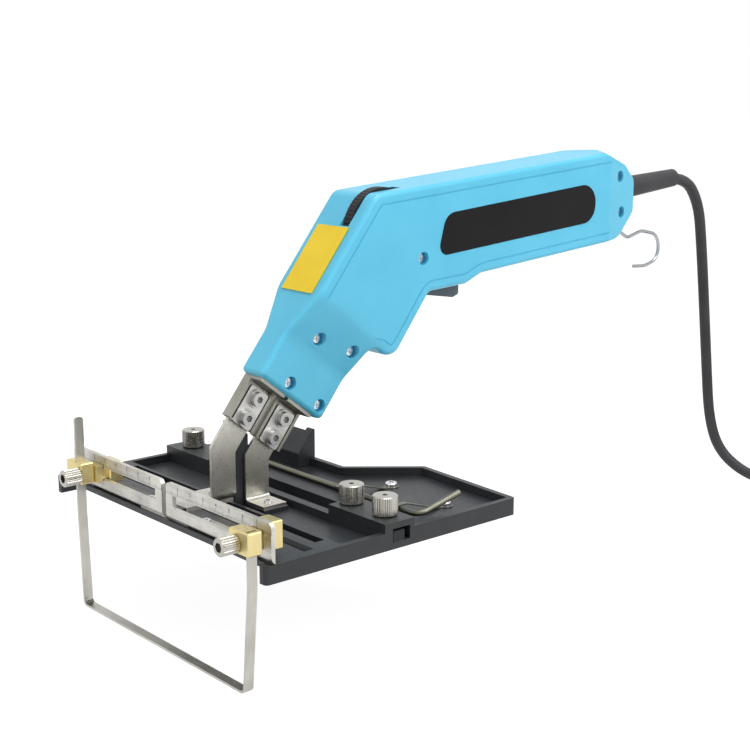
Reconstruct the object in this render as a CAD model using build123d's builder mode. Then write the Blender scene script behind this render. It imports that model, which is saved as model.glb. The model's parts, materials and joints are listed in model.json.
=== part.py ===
"""Foam cutting knife: a hot blade gun on a guide sledge with a U shaped blade.

Millimetres, +Z up. X runs along the scale arms, Y from the blade to the tail, and the sole of the
sledge lies at Z 0 with the origin between its side walls.
"""
from build123d import *
import math
import os

os.makedirs("parts", exist_ok=True)

# Clearances and fits
run_gap = 0.3
fit_gap = 0.05
cut_past = 1.0
screw_fit = 0.02

# Sledge base
base_half_width = 88.75
base_front = -73.0
base_right_rear = 75.0
base_tail_x = 20.25
base_tail_rear = 79.0
base_waist_x = -6.75
base_waist_rear = 47.0
base_left_corner_inset = 26.75
base_left_rear = 21.5
base_corner_round = 2.0
rim_height = 8.3
rim_width = 3.0
floor_top = 4.2
runner_width = 4.5
deck_front = -70.0
deck_open_rear = -47.0
deck_rear = -31.0
deck_underside = 5.6
deck_slot_front = -49.0
deck_slot_width = 5.2
deck_rib_width = 5.7
deck_slot_margin = 5.1
short_slot_margin = 11.5
short_slot_wall = 2.0

# Guide channel, its bridges and bars
channel_front = -3.2
channel_width = 10.2
channel_floor = 3.3
front_rib_width = 4.5
rod_rib_width = 15.5
rod_rib_top = 7.9
bridge_top = 12.5
bridge_roof = 3.0
bridge_lip = 2.7
right_bridge_length = 40.0
left_bridge_length = 39.0
bar_width = 6.6
bar_height = 5.0
bar_length = 38.0
bar_chamfer = 0.5

# Knurled knobs
knob_radius = 5.9
knob_height = 9.0
knob_y = 2.0
knob_stud_radius = 2.0
knob_hole_radius = 1.2
knob_hole_depth = 3.0
right_knob_insets = (34.9, 11.4)
left_knob_inset = 11.25
knurl_depth = 0.45
knurl_count = 36

# Guide rod and its leaf springs
rod_radius = 1.4
rod_behind_channel = 12.3
rod_left_end = -40.0
rod_bend_inset = 7.75
rod_bend_radius = 5.0
rod_tail_length = 21.0
rod_tail_rise = 13.0
leaf_thickness = 0.5
leaf_width = 3.2
leaf_eye_radius = 3.8
leaf_places = ((26.6, 50.4), (67.0, 48.9))
leaf_flat_length = 5.0
leaf_overhang = 4.0
leaf_head_radius = 3.1
leaf_head_height = 2.2
leaf_bend_radius = 6.0
leaf_shank_radius = 1.5

# Rear fork of the base
fork_width = 31.5
fork_front = 36.0
fork_depth = 11.0
fork_nose_height = 12.0
fork_top = 23.8
fork_nose_round = 1.0
fork_top_round = 1.0
fork_prong = 4.5
fork_groove_foot = 1.5
fork_groove_round = 9.0
fork_groove_depth = 2.8

# Scale arms
arm_length = 80.0
arm_gap = 3.5
arm_thickness = 2.0
arm_height = 18.1
arm_flange = 12.5
arm_flange_inset = 14.0
arm_slot_height = 6.0
arm_slot_rise = 9.7
arm_slot_margin = 5.5
arm_corner_round = 2.5
arm_tab_width = 20.0
arm_tab_rear = -30.4
arm_screw_inset = 21.0
arm_screw_y = -62.6
arm_head_radius = 2.2
arm_head_height = 1.8
arm_shank_radius = 1.5
arm_shank_length = 4.4

# Blade and its clamps
blade_width = 4.6
blade_thickness = 1.1
blade_y = -77.5
blade_right_offset = 4.2
blade_left_lean = 2.1
blade_right_lean = 4.4
blade_bottom = -48.4
blade_left_top = 45.5
blade_right_top = 22.0
blade_lean_start = -1.0
blade_corner_radius = 2.6
blade_lean_radius = 40.0
clamp_width = 14.0
clamp_depth = 7.2
clamp_height = 10.2
clamp_rise = 0.8
clamp_standoff = 3.9
left_clamp_inset = 19.25
right_clamp_inset = 7.75
left_screw_offset = 4.7
right_screw_offset = 2.0
clamp_chamfer = 0.5
clamp_collar_width = 8.0
clamp_collar_height = 8.4
clamp_nut_width = 10.0
clamp_nut_depth = 7.6
clamp_nut_height = 12.6
clamp_head_radius = 4.1
clamp_head_length = 8.5
clamp_shank_radius = 2.0
clamp_hex_width = 4.0
clamp_hex_depth = 4.0
slit_gap = 0.1

# Gun housing
gun_x = 11.25
gun_half = 17.0
gun_wall = 2.5
gun_edge_round = 2.4
neck_half = 8.4
neck_end = 23.0
neck_shoulder = 46.0
neck_blend_radius = 14.0
nose_angle = 51.9
nose_y = -23.6
nose_z = 70.9
nose_width = 45.0
nose_round = 2.0
chin_round = 3.0
heel_rise = 43.5
heel_width = 59.2
heel_round = 8.0
heel_notch_round = 4.5
elbow_y = 39.6
elbow_z = 150.7
elbow_round = 7.0
handle_pitch = 4.5
handle_top_end = 217.0
handle_top_round = 7.0
handle_bottom_rear = (221.0, 115.5)
handle_bottom_front = (111.0, 106.5)
belly_round = 14.0
trigger_lip_rear = (100.0, 102.0)
trigger_lip_front = (74.6, 100.6)
trigger_lip_round = 5.0
tail_y = 237.5
tail_top = 147.8
tail_bottom = 129.0
tail_half = 11.0
tail_round = 6.0
tail_crease_y = 209.0
tail_cut_corner = (17.0, 206.0, 163.0)
tail_cut_normal = (0.299, 0.363, 0.882)
trim_line_inset = 5.0
trim_line_width = 0.8
trim_line_depth = 0.4

# Housing screws
screw_head_radius = 2.2
screw_head_height = 2.0
screw_shank_radius = 1.3
screw_recess = 4.6
screw_bore_radius = 3.3
screw_boss_wall = 0.8
screw_reach = 5.0
# Places up the nose and back from its front face
neck_screw_spots = ((5.5, 17.6), (5.5, 39.4), (30.5, 17.6), (35.5, 37.4))
# Y and Z
body_screw_spots = ((70.0, 117.6), (220.1, 150.2), (222.7, 130.2))
cross_length = 3.0
cross_width = 0.7
cross_depth = 1.0

# Nameplate and front panel
plate_low_front = (79.3, 117.6)
plate_high_front = (85.0, 138.7)
plate_high_rear = (197.0, 148.2)
plate_low_rear = (197.0, 127.2)
plate_low_front_round = 4.8
plate_high_front_round = 8.4
plate_rear_round = 10.0
plate_thickness = 1.0
plate_recess = 0.8
panel_width = 23.0
panel_start = 45.0
panel_end = 81.7
panel_thickness = 0.5

# Heat dial, potentiometer and board
dial_radius = 20.6
dial_slot_radius = 22.5
dial_thickness = 5.6
dial_offset = 6.5
dial_y = 50.1
dial_z = 132.5
dial_slot_gap = 0.5
dial_ridge_count = 60
dial_ridge_depth = 0.5
dial_shaft_radius = 3.0
dial_shaft_length = 7.0
pot_radius = 8.5
board_thickness = 1.6
board_offset = -8.0
board_low = 80.0
board_high = 100.0
board_front = 8.0
board_rear = 34.0
post_radius = 2.0
board_post_spots = ((83.0, 11.0), (83.0, 31.0), (97.0, 31.0))

# Trigger and switch
trigger_half_width = 4.8
trigger_pivot_y = 82.5
trigger_pivot_z = 106.3
trigger_front = 79.0
trigger_rear = 105.6
trigger_pin_radius = 1.5
trigger_pin_half_length = 9.0
trigger_boss_radius = 3.0
trigger_swing_room = 2.4
trigger_shoulder_z = 99.5
trigger_chin = (82.4, 96.8)
trigger_tip = (101.5, 93.6)
trigger_tip_z = 95.0
trigger_step = 11.0
trigger_step_start = 7.5
trigger_round = 1.5
switch_front = 84.0
switch_length = 20.0
switch_bottom = 112.0
switch_height = 18.0
switch_half_width = 8.0
switch_gap = 2.0
switch_chamfer = 0.6

# Transformer and output bars
core_low = 49.0
core_length = 22.0
core_front = 4.0
core_width = 50.0
core_half_depth = 12.0
core_leg = 7.0
core_yoke = 5.0
winding_gap = 0.2
winding_side = 2.2
output_bar_half_width = 5.0
output_bar_thickness = 3.0
output_bar_end = 47.5
spacer_low = 12.0
spacer_length = 8.0
spacer_gap = 0.2

# Terminals below the nose
terminal_width = 17.0
terminal_front = 3.0
terminal_spacing = 19.4
terminal_length = 22.4
sheet = 1.6
terminal_back = -7.1
terminal_flange_edge = -1.6
terminal_tab_end = 6.0
strip_width = 13.5
strip_foot_length = 14.0
strip_bend_radius = 2.4
front_strip_edge = -43.8
rear_strip_edge = -24.6
rear_foot_seat = 6.2
pinch_width = 12.0
pinch_thickness = 2.5
pinch_start = 3.5
pinch_length = 19.5
pinch_round = 1.5
pinch_screw_places = (8.3, 18.5)
pinch_head_radius = 3.5
pinch_head_height = 3.4
pinch_flange_radius = 4.4
pinch_flange_height = 0.9
pinch_shank_radius = 2.0
pinch_hex_width = 3.0
pinch_hex_depth = 2.6
foot_screw_reach = 8.4
foot_head_radius = 2.0
foot_head_height = 1.0
foot_shank_radius = 1.5
foot_shank_length = 5.0
post_half_width = 4.0
post_top_gap = 0.9
post_behind_strip = 3.0

# Cord, strain relief, clamp, coil and plug
cord_radius = 3.3
relief_z = 141.7
relief_root_radius = 6.3
relief_tip_radius = 5.2
relief_length = 48.0
relief_bore_depth = 9.0
relief_flange_radius = 6.5
relief_flange_start = 3.3
relief_flange_thickness = 2.4
sheath_length = 30.0
cord_clamp_place = 18.0
cord_clamp_length = 7.0
cord_clamp_half_width = 5.4
cord_clamp_thickness = 4.0
cord_clamp_screw_offset = 4.3
cord_screw_radius = 0.9
cord_screw_head_radius = 1.2
cord_screw_head_height = 1.4
cord_screw_reach = 9.0
coil_centre = (73.3, 403.8)
coil_heading = 49.3
coil_outer = 50.0
coil_pitch = 8.4
coil_turns_in = 7
coil_turns_out = 8
coil_lead_in = 24.0
relief_straight = 11.5
tie_thickness = 1.2
tie_width = 10.0
tie_gap = 0.4
plug_relief_length = 24.0
plug_relief_radius = 4.2
plug_relief_root_radius = 5.6
plug_width = 22.0
plug_height = 18.0
plug_length = 34.0
plug_round = 4.0
pin_spacing = 12.7
pin_width = 6.3
pin_thickness = 1.5
pin_length = 17.0

# Hanging hook
hook_wire_radius = 1.0
hook_pivot = (226.0, 124.5)
hook_pin_half_length = 5.0
hook_boss_radius = 2.6
hook_notch_reach = 11.0
hook_notch_angles = (-105, -65, -25, 12)
hook_bends = ((246.0, 112.8), (258.5, 116.0), (275.0, 112.6), (275.0, 98.0), (263.0, 95.0))
hook_bend_radii = (6.0, 12.0, 9.0, 8.0, 14.0)
hook_tip = (252.5, 95.6)

# Directions and places worked out from the sizes above
nose_cos = math.cos(math.radians(nose_angle))
nose_sin = math.sin(math.radians(nose_angle))
nose_up = (0, nose_cos, nose_sin)
nose_back = (0, nose_sin, -nose_cos)
nose_front = (0, -nose_sin, nose_cos)
nose_origin = (gun_x, nose_y, nose_z)
# On the face plane x runs up the nose, y to its rear and z to the left side of the gun
face_plane = Plane(origin=nose_origin, x_dir=nose_up, z_dir=(-1, 0, 0))
# On the side plane x runs up the nose, y to the right side of the gun and z to its rear
side_plane = Plane(origin=nose_origin, x_dir=nose_up, z_dir=nose_back)
handle_cos = math.cos(math.radians(handle_pitch))
handle_sin = math.sin(math.radians(handle_pitch))
handle_slope = math.tan(math.radians(handle_pitch))
channel_rear = channel_front + channel_width
bridge_front = channel_front - front_rib_width
bridge_rear = channel_rear + bridge_lip
roof_underside = bridge_top - bridge_roof
base_left_corner_x = base_left_corner_inset - base_half_width
right_knob_places = [base_half_width - inset for inset in right_knob_insets]
left_knob_place = left_knob_inset - base_half_width
bar_front = channel_front + run_gap
bar_bottom = channel_floor + fit_gap
bar_top = bar_bottom + bar_height
rod_y = channel_rear + rod_behind_channel
rod_z = rod_rib_top + fit_gap + rod_radius
rod_bend_x = base_half_width - rod_bend_inset
fork_left = base_left_corner_x
arm_slot_z = rim_height + arm_slot_rise
clamp_z = arm_slot_z + clamp_rise
clamp_rear = deck_front - clamp_standoff
clamp_front = clamp_rear - clamp_depth
right_arm_x = base_half_width - arm_length
left_arm_x = right_arm_x - arm_gap - arm_length
left_clamp_x = left_arm_x + left_clamp_inset
right_clamp_x = base_half_width - right_clamp_inset
left_clamp_screw_x = left_clamp_x + left_screw_offset
right_clamp_screw_x = right_clamp_x - right_screw_offset
blade_left_x = left_clamp_x
blade_right_x = right_clamp_x + blade_right_offset
blade_left_foot_x = blade_left_x + blade_left_lean
blade_right_foot_x = blade_right_x - blade_right_lean
dial_inner = dial_offset - dial_thickness / 2
dial_outer = dial_offset + dial_thickness / 2
pot_face = board_offset + board_thickness
core_middle = core_front + core_width / 2
core_window = core_length - 2 * core_yoke
front_terminal_middle = terminal_front + terminal_width / 2
rear_terminal_middle = front_terminal_middle + terminal_spacing
strip_back = terminal_back + sheet
strip_face = strip_back + sheet
pinch_face = strip_face + pinch_thickness
front_foot_screw_x = gun_x + strip_back - foot_screw_reach
rear_foot_screw_x = gun_x + strip_face + foot_screw_reach
front_foot_seat = rim_height + arm_thickness
relief_direction = (0, handle_cos, handle_sin)
relief_plane = Plane(origin=(gun_x, tail_y, relief_z), x_dir=(1, 0, 0), z_dir=relief_direction)
# The coil lies with its tie on the floor that the blade's lower edge touches
coil_bottom = blade_bottom - blade_thickness / 2 + tie_thickness + tie_gap + cord_radius
coil_cos = math.cos(math.radians(coil_heading))
coil_sin = math.sin(math.radians(coil_heading))
coil_plane = Plane(
    origin=(coil_centre[0], coil_centre[1], coil_bottom),
    x_dir=(coil_sin, -coil_cos, 0),
    z_dir=(0, 0, 1),
)


def nose(up, back):
    """Y and Z of a place given along the nose axis and back from the front face."""
    return (nose_y + up * nose_cos + back * nose_sin, nose_z + up * nose_sin - back * nose_cos)


def along_relief(distance):
    """A place on the axis of the strain relief, measured out from the tail wall."""
    return (gun_x, tail_y + distance * handle_cos, relief_z + distance * handle_sin)


def rounded_loop(corners):
    """Face inside a loop of straight runs joined by tangent arcs, each corner being (x, y, radius)."""
    starts = []
    middles = []
    ends = []
    count = len(corners)
    for i in range(count):
        here = Vector(corners[i][0], corners[i][1])
        radius = corners[i][2]
        before = Vector(corners[i - 1][0], corners[i - 1][1])
        after = Vector(corners[(i + 1) % count][0], corners[(i + 1) % count][1])
        to_before = (before - here).normalized()
        to_after = (after - here).normalized()
        half_angle = math.radians(to_before.get_angle(to_after)) / 2
        reach = radius / math.tan(half_angle)
        inward = (to_before + to_after).normalized()
        starts.append(here + to_before * reach)
        ends.append(here + to_after * reach)
        middles.append(here + inward * (radius / math.sin(half_angle) - radius))
    with BuildLine() as loop:
        for i in range(count):
            Line(ends[i - 1], starts[i])
            if corners[i][2] > 0:
                ThreePointArc(starts[i], middles[i], ends[i])
    make_face(loop.edges())


def bent_section(path, thickness):
    """Corners of a bent sheet's section, along a middle line of (x, y, radius) points."""
    left = []
    right = []
    half = thickness / 2
    points = [Vector(x, y) for x, y, radius in path]
    for i, (x, y, radius) in enumerate(path):
        into = (points[i] - points[i - 1]).normalized() if i > 0 else None
        out = (points[i + 1] - points[i]).normalized() if i < len(path) - 1 else None
        into = into or out
        out = out or into
        side_in = Vector(-into.Y, into.X)
        side_out = Vector(-out.Y, out.X)
        shift = (side_in + side_out) * (half / (1 + side_in.dot(side_out)))
        turn = into.X * out.Y - into.Y * out.X
        inner = max(radius - half, 0)
        outer = radius + half if radius > 0 else 0
        left.append((x + shift.X, y + shift.Y, inner if turn > 0 else outer))
        right.append((x - shift.X, y - shift.Y, outer if turn > 0 else inner))
    return left + right[::-1]


def block(x_range, y_range, z_range, mode=Mode.ADD):
    """Box between the given limits, in the part being built."""
    size = [limits[1] - limits[0] for limits in (x_range, y_range, z_range)]
    middle = [(limits[1] + limits[0]) / 2 for limits in (x_range, y_range, z_range)]
    with Locations(tuple(middle)):
        Box(*size, mode=mode)


def rod_along(plane, radius, start, end, mode=Mode.ADD):
    """Round rod on a plane's axis between two heights, in the part being built."""
    with BuildSketch(plane.offset(start)) as section:
        Circle(radius)
    extrude(section.sketch, amount=end - start, dir=plane.z_dir, mode=mode)


def across(y, z):
    """Plane at the split of the gun whose axis points to its right side."""
    return Plane(origin=(gun_x, y, z), x_dir=(0, 1, 0), z_dir=(1, 0, 0))


def knurl(plane, radius, depth, count, length):
    """Cut grooves along a round head that stands on the plane."""
    with BuildSketch(plane) as grooves:
        with PolarLocations(radius, count):
            RegularPolygon(depth, 4)
    extrude(grooves.sketch, amount=length, dir=plane.z_dir, mode=Mode.SUBTRACT)


def cross_slot(plane, length, width, depth):
    """Cut a cross recess down from the plane."""
    with BuildSketch(plane) as cross:
        Rectangle(length, width)
        Rectangle(width, length)
    extrude(cross.sketch, amount=-depth, dir=plane.z_dir, mode=Mode.SUBTRACT)


# Base plate
base_corners = [
    (-base_half_width, base_front, base_corner_round),
    (base_half_width, base_front, base_corner_round),
    (base_half_width, base_right_rear, base_corner_round),
    (base_tail_x, base_tail_rear, base_corner_round),
    (base_waist_x, base_waist_rear, base_corner_round),
    (base_left_corner_x, base_waist_rear, base_corner_round),
    (-base_half_width, base_left_rear, base_corner_round),
]
runner_inside = base_half_width - runner_width
wall_inside = base_half_width - rim_width
short_slot_front = deck_slot_front + deck_slot_width + deck_rib_width
long_slot_end = base_half_width - deck_slot_margin
short_slot_end = base_half_width - short_slot_margin
right_bridge_x = base_half_width - right_bridge_length
left_bridge_x = -base_half_width + left_bridge_length
rod_rib_rear = channel_rear + rod_rib_width
foot_seat_x = (gun_x + strip_back - cut_past, gun_x + strip_face + strip_foot_length + cut_past)
all_heights = (-cut_past, bridge_top + cut_past)

with BuildPart() as base_plate:
    with BuildSketch():
        rounded_loop(base_corners)
    extrude(amount=rim_height)
    with BuildSketch(Plane.XY.offset(floor_top)):
        rounded_loop(base_corners)
        offset(amount=-rim_width)
        with Locations((0, deck_rear)):
            Rectangle(
                4 * base_half_width,
                4 * base_tail_rear,
                align=(Align.CENTER, Align.MIN),
                mode=Mode.INTERSECT,
            )
    extrude(amount=rim_height, mode=Mode.SUBTRACT)
    # Front bar between the runners, open underneath
    block((-runner_inside, runner_inside), (base_front - cut_past, deck_front), all_heights, Mode.SUBTRACT)
    block(
        (-runner_inside, runner_inside),
        (deck_front - cut_past, deck_open_rear),
        (-cut_past, deck_underside),
        Mode.SUBTRACT,
    )
    block(
        (-long_slot_end, long_slot_end),
        (deck_slot_front, deck_slot_front + deck_slot_width),
        (floor_top, rim_height + cut_past),
        Mode.SUBTRACT,
    )
    block(
        (-short_slot_end, short_slot_end),
        (short_slot_front, deck_rear - short_slot_wall),
        (floor_top, rim_height + cut_past),
        Mode.SUBTRACT,
    )
    # Ribs beside the guide channel
    block((-wall_inside, wall_inside), (bridge_front, channel_front), (0, rod_rib_top))
    block((-wall_inside, right_bridge_x), (channel_rear, rod_rib_rear), (0, rod_rib_top))
    # Bridges over the channel
    block((right_bridge_x, base_half_width), (bridge_front, bridge_rear), (0, bridge_top))
    block((-base_half_width, left_bridge_x), (bridge_front, bridge_rear), (0, bridge_top))
    block(
        (-base_half_width - cut_past, base_half_width + cut_past),
        (channel_front, channel_rear),
        (channel_floor, roof_underside),
        Mode.SUBTRACT,
    )
    for knob_x in (left_knob_place, *right_knob_places):
        with Locations((knob_x, knob_y, bridge_top)):
            Hole(knob_stud_radius + fit_gap, bridge_roof)
    # Fork with a round groove between two prongs in its slanted front
    fork_rear = fork_front + fork_depth
    with BuildSketch(Plane.YZ.offset(fork_left)):
        rounded_loop(
            [
                (fork_front, floor_top - cut_past, 0),
                (fork_front, fork_nose_height, fork_nose_round),
                (fork_front + (fork_top - fork_nose_height) * nose_cos / nose_sin, fork_top, fork_top_round),
                (fork_rear, fork_top, fork_top_round),
                (fork_rear, floor_top - cut_past, 0),
            ]
        )
    extrude(amount=fork_width)
    groove_plane = Plane(origin=(fork_left, fork_front, fork_nose_height), x_dir=(1, 0, 0), z_dir=nose_front)
    groove_right = fork_width - fork_prong
    with BuildSketch(groove_plane):
        rounded_loop(
            [
                (fork_prong, fork_groove_foot, fork_groove_round),
                (groove_right, fork_groove_foot, fork_groove_round),
                (groove_right, 2 * fork_depth, 0),
                (fork_prong, 2 * fork_depth, 0),
            ]
        )
    extrude(amount=fork_groove_depth, dir=nose_back, mode=Mode.SUBTRACT)
    # Seat of the rear strip and the post between the strips
    foot_seat_y = (rear_strip_edge - run_gap, rear_strip_edge + strip_width + run_gap)
    block(foot_seat_x, foot_seat_y, (0, rear_foot_seat))
    post_front = front_strip_edge + strip_width + run_gap
    post_rear = rear_strip_edge + post_behind_strip
    post_left = gun_x + strip_back - run_gap - 2 * post_half_width
    post_edge = nose(-terminal_length - post_top_gap, 0)
    post_slope = -nose_cos / nose_sin
    with BuildSketch(Plane.YZ.offset(post_left)):
        rounded_loop(
            [
                (post_front, 0, 0),
                (post_rear, 0, 0),
                (post_rear, post_edge[1] + (post_rear - post_edge[0]) * post_slope, 0),
                (post_front, post_edge[1] + (post_front - post_edge[0]) * post_slope, 0),
            ]
        )
    extrude(amount=2 * post_half_width)
    # Screw holes
    for leaf_x, leaf_y in leaf_places:
        with Locations((leaf_x, leaf_y, floor_top)):
            Hole(leaf_shank_radius + screw_fit, floor_top)
    for arm_x in (left_arm_x, right_arm_x):
        for hole_x in (arm_x + arm_screw_inset, arm_x + arm_length - arm_screw_inset):
            with Locations((hole_x, arm_screw_y, rim_height)):
                Hole(arm_shank_radius + screw_fit, rim_height)
    for hole_x, hole_edge in ((front_foot_screw_x, front_strip_edge), (rear_foot_screw_x, rear_strip_edge)):
        with Locations((hole_x, hole_edge + strip_width / 2, bridge_top)):
            Hole(foot_shank_radius + screw_fit, bridge_top)


# Knurled knobs and guide bars
def knurled_knob(x):
    """Knob with its stud through the bridge roof to the guide bar."""
    foot = Plane((x, knob_y, bridge_top + run_gap))
    with BuildPart() as knob:
        rod_along(foot, knob_radius, 0, knob_height)
        chamfer(knob.edges().filter_by(GeomType.CIRCLE), length=knurl_depth)
        knurl(foot, knob_radius + knurl_depth / 3, knurl_depth, knurl_count, knob_height)
        rod_along(foot, knob_stud_radius, bar_top - bridge_top, 0)
        rod_along(foot, knob_hole_radius, knob_height - knob_hole_depth, knob_height, Mode.SUBTRACT)
    return knob


def guide_bar(x_start):
    """Flat bar that slides in the channel under a bridge."""
    with BuildPart() as bar:
        block((x_start, x_start + bar_length), (bar_front, bar_front + bar_width), (bar_bottom, bar_top))
        chamfer(bar.edges().filter_by(Axis.X), length=bar_chamfer)
    return bar


right_inner_knob = knurled_knob(right_knob_places[0])
right_outer_knob = knurled_knob(right_knob_places[1])
left_knob = knurled_knob(left_knob_place)
right_guide_bar = guide_bar(base_half_width - bar_length)
left_guide_bar = guide_bar(-base_half_width)

# Guide rod, bent up and back at its right end
rod_rise = math.radians(rod_tail_rise)
rod_tail = rod_tail_length + rod_bend_radius
with BuildPart() as guide_rod:
    with BuildLine():
        FilletPolyline(
            (rod_left_end, rod_y, rod_z),
            (rod_bend_x, rod_y, rod_z),
            (rod_bend_x, rod_y + rod_tail * math.cos(rod_rise), rod_z + rod_tail * math.sin(rod_rise)),
            radius=rod_bend_radius,
        )
    with BuildSketch(Plane((rod_left_end, rod_y, rod_z), x_dir=(0, 1, 0), z_dir=(1, 0, 0))):
        Circle(rod_radius)
    sweep()

# Leaf springs over the rod, each with its eye under a screw
leaf_low = floor_top + leaf_thickness / 2
leaf_high = rod_z + rod_radius + fit_gap + leaf_thickness / 2
with BuildPart() as rod_springs:
    for leaf_x, leaf_y in leaf_places:
        with BuildSketch(Plane.YZ.offset(leaf_x - leaf_width / 2)) as leaf_side:
            rounded_loop(
                bent_section(
                    [
                        (leaf_y, leaf_low, 0),
                        (leaf_y - leaf_flat_length, leaf_low, leaf_bend_radius),
                        (rod_y + leaf_overhang, leaf_high, leaf_bend_radius),
                        (rod_y - leaf_overhang, leaf_high, 0),
                    ],
                    leaf_thickness,
                )
            )
        extrude(leaf_side.sketch, amount=leaf_width, dir=(1, 0, 0))
        eye = Plane((leaf_x, leaf_y, floor_top))
        rod_along(eye, leaf_eye_radius, 0, leaf_thickness)
        rod_along(eye, leaf_shank_radius + screw_fit, -cut_past, leaf_thickness + cut_past, Mode.SUBTRACT)

with BuildPart() as spring_screws:
    for leaf_x, leaf_y in leaf_places:
        seat = Plane((leaf_x, leaf_y, floor_top + leaf_thickness))
        rod_along(seat, leaf_head_radius, 0, leaf_head_height)
        rod_along(seat, leaf_shank_radius, run_gap - floor_top - leaf_thickness, 0)
    top_rims = spring_screws.faces().filter_by(Axis.Z).group_by(Axis.Z)[-1].edges()
    fillet(top_rims, radius=0.45 * leaf_head_height)
    for leaf_x, leaf_y in leaf_places:
        head_top = Plane((leaf_x, leaf_y, floor_top + leaf_thickness + leaf_head_height))
        cross_slot(head_top, cross_length, cross_width, cross_depth)


# Scale arms, slotted steel angles on the front bar
def scale_arm(x_start, tab):
    """Angle from x_start on, with a tab under the front strip if asked for."""
    half = arm_thickness / 2
    x_end = x_start + arm_length
    with BuildPart() as arm:
        with BuildSketch(Plane.YZ.offset(x_start)):
            rounded_loop(
                bent_section(
                    [
                        (deck_front + arm_flange, rim_height + half, 0),
                        (deck_front + half, rim_height + half, 1.2 * arm_thickness),
                        (deck_front + half, rim_height + arm_height, 0),
                    ],
                    arm_thickness,
                )
            )
        extrude(amount=arm_length)
        top_corners = arm.edges().filter_by(Axis.Y).group_by(Axis.Z)[-1]
        fillet(top_corners, radius=arm_corner_round)
        for end_range in ((x_start, x_start + arm_flange_inset), (x_end - arm_flange_inset, x_end)):
            block(
                end_range,
                (deck_front + arm_thickness, deck_front + arm_flange),
                (rim_height, rim_height + arm_height),
                Mode.SUBTRACT,
            )
        block(
            (x_start + arm_slot_margin, x_end - arm_slot_margin),
            (deck_front - cut_past, deck_front + arm_thickness + cut_past),
            (arm_slot_z - arm_slot_height / 2, arm_slot_z + arm_slot_height / 2),
            Mode.SUBTRACT,
        )
        if tab:
            tab_x = (x_end - arm_tab_width, x_end)
            tab_y = (deck_front + arm_thickness / 2, arm_tab_rear)
            block(tab_x, tab_y, (rim_height, rim_height + arm_thickness))
            hole = Plane((front_foot_screw_x, front_strip_edge + strip_width / 2, rim_height))
            rod_along(hole, foot_shank_radius + screw_fit, -cut_past, arm_thickness + cut_past, Mode.SUBTRACT)
        for hole_x in (x_start + arm_screw_inset, x_end - arm_screw_inset):
            hole = Plane((hole_x, arm_screw_y, rim_height))
            rod_along(hole, arm_shank_radius + screw_fit, -cut_past, arm_thickness + cut_past, Mode.SUBTRACT)
    return arm


left_arm = scale_arm(left_arm_x, True)
right_arm = scale_arm(right_arm_x, False)

with BuildPart() as arm_screws:
    arm_screw_seat = rim_height + arm_thickness
    for arm_x in (left_arm_x, right_arm_x):
        for screw_x in (arm_x + arm_screw_inset, arm_x + arm_length - arm_screw_inset):
            seat = Plane((screw_x, arm_screw_y, arm_screw_seat))
            rod_along(seat, arm_head_radius, 0, arm_head_height)
            rod_along(seat, arm_shank_radius, -arm_shank_length, 0)
            cross_slot(seat.offset(arm_head_height), cross_length, cross_width, cross_depth / 2)


# Blade clamps
def clamp_block(middle_x, screw_x, leg_x):
    """Brass block in front of an arm, with a collar and a spigot that rides in the arm's slot."""
    low = clamp_z - clamp_height / 2
    high = clamp_z + clamp_height / 2
    half_collar = clamp_collar_width / 2
    half_spigot = arm_slot_height / 2 - run_gap
    half_slit_x = blade_thickness / 2 + slit_gap
    half_slit_y = blade_width / 2 + slit_gap
    web_rear = deck_front + arm_thickness
    with BuildPart() as clamp:
        block(
            (middle_x - clamp_width / 2, middle_x + clamp_width / 2),
            (clamp_front, clamp_rear),
            (low, high),
        )
        chamfer(clamp.edges(), length=clamp_chamfer)
        block(
            (screw_x - half_collar, screw_x + half_collar),
            (clamp_rear, deck_front - run_gap),
            (arm_slot_z - clamp_collar_height / 2, arm_slot_z + clamp_collar_height / 2),
        )
        block(
            (screw_x - half_collar, screw_x + half_collar),
            (clamp_rear, web_rear + run_gap),
            (arm_slot_z - half_spigot, arm_slot_z + half_spigot),
        )
        block(
            (leg_x - half_slit_x, leg_x + half_slit_x),
            (blade_y - half_slit_y, blade_y + half_slit_y),
            (low - cut_past, high + cut_past),
            Mode.SUBTRACT,
        )
        bore = Plane((screw_x, clamp_front, arm_slot_z), x_dir=(1, 0, 0), z_dir=(0, 1, 0))
        rod_along(bore, clamp_shank_radius + fit_gap, -cut_past, 4 * clamp_depth, Mode.SUBTRACT)
    return clamp


def clamp_nut(screw_x, middle_z, width, height):
    """Brass nut behind the arm that the clamp screw pulls on."""
    front = deck_front + arm_thickness + run_gap
    with BuildPart() as nut:
        block(
            (screw_x - width / 2, screw_x + width / 2),
            (front, front + clamp_nut_depth),
            (middle_z - height / 2, middle_z + height / 2),
        )
        chamfer(nut.edges(), length=clamp_chamfer)
        bore = Plane((screw_x, front, arm_slot_z), x_dir=(1, 0, 0), z_dir=(0, 1, 0))
        rod_along(bore, clamp_shank_radius + fit_gap, -cut_past, clamp_nut_depth + cut_past, Mode.SUBTRACT)
    return nut


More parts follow.
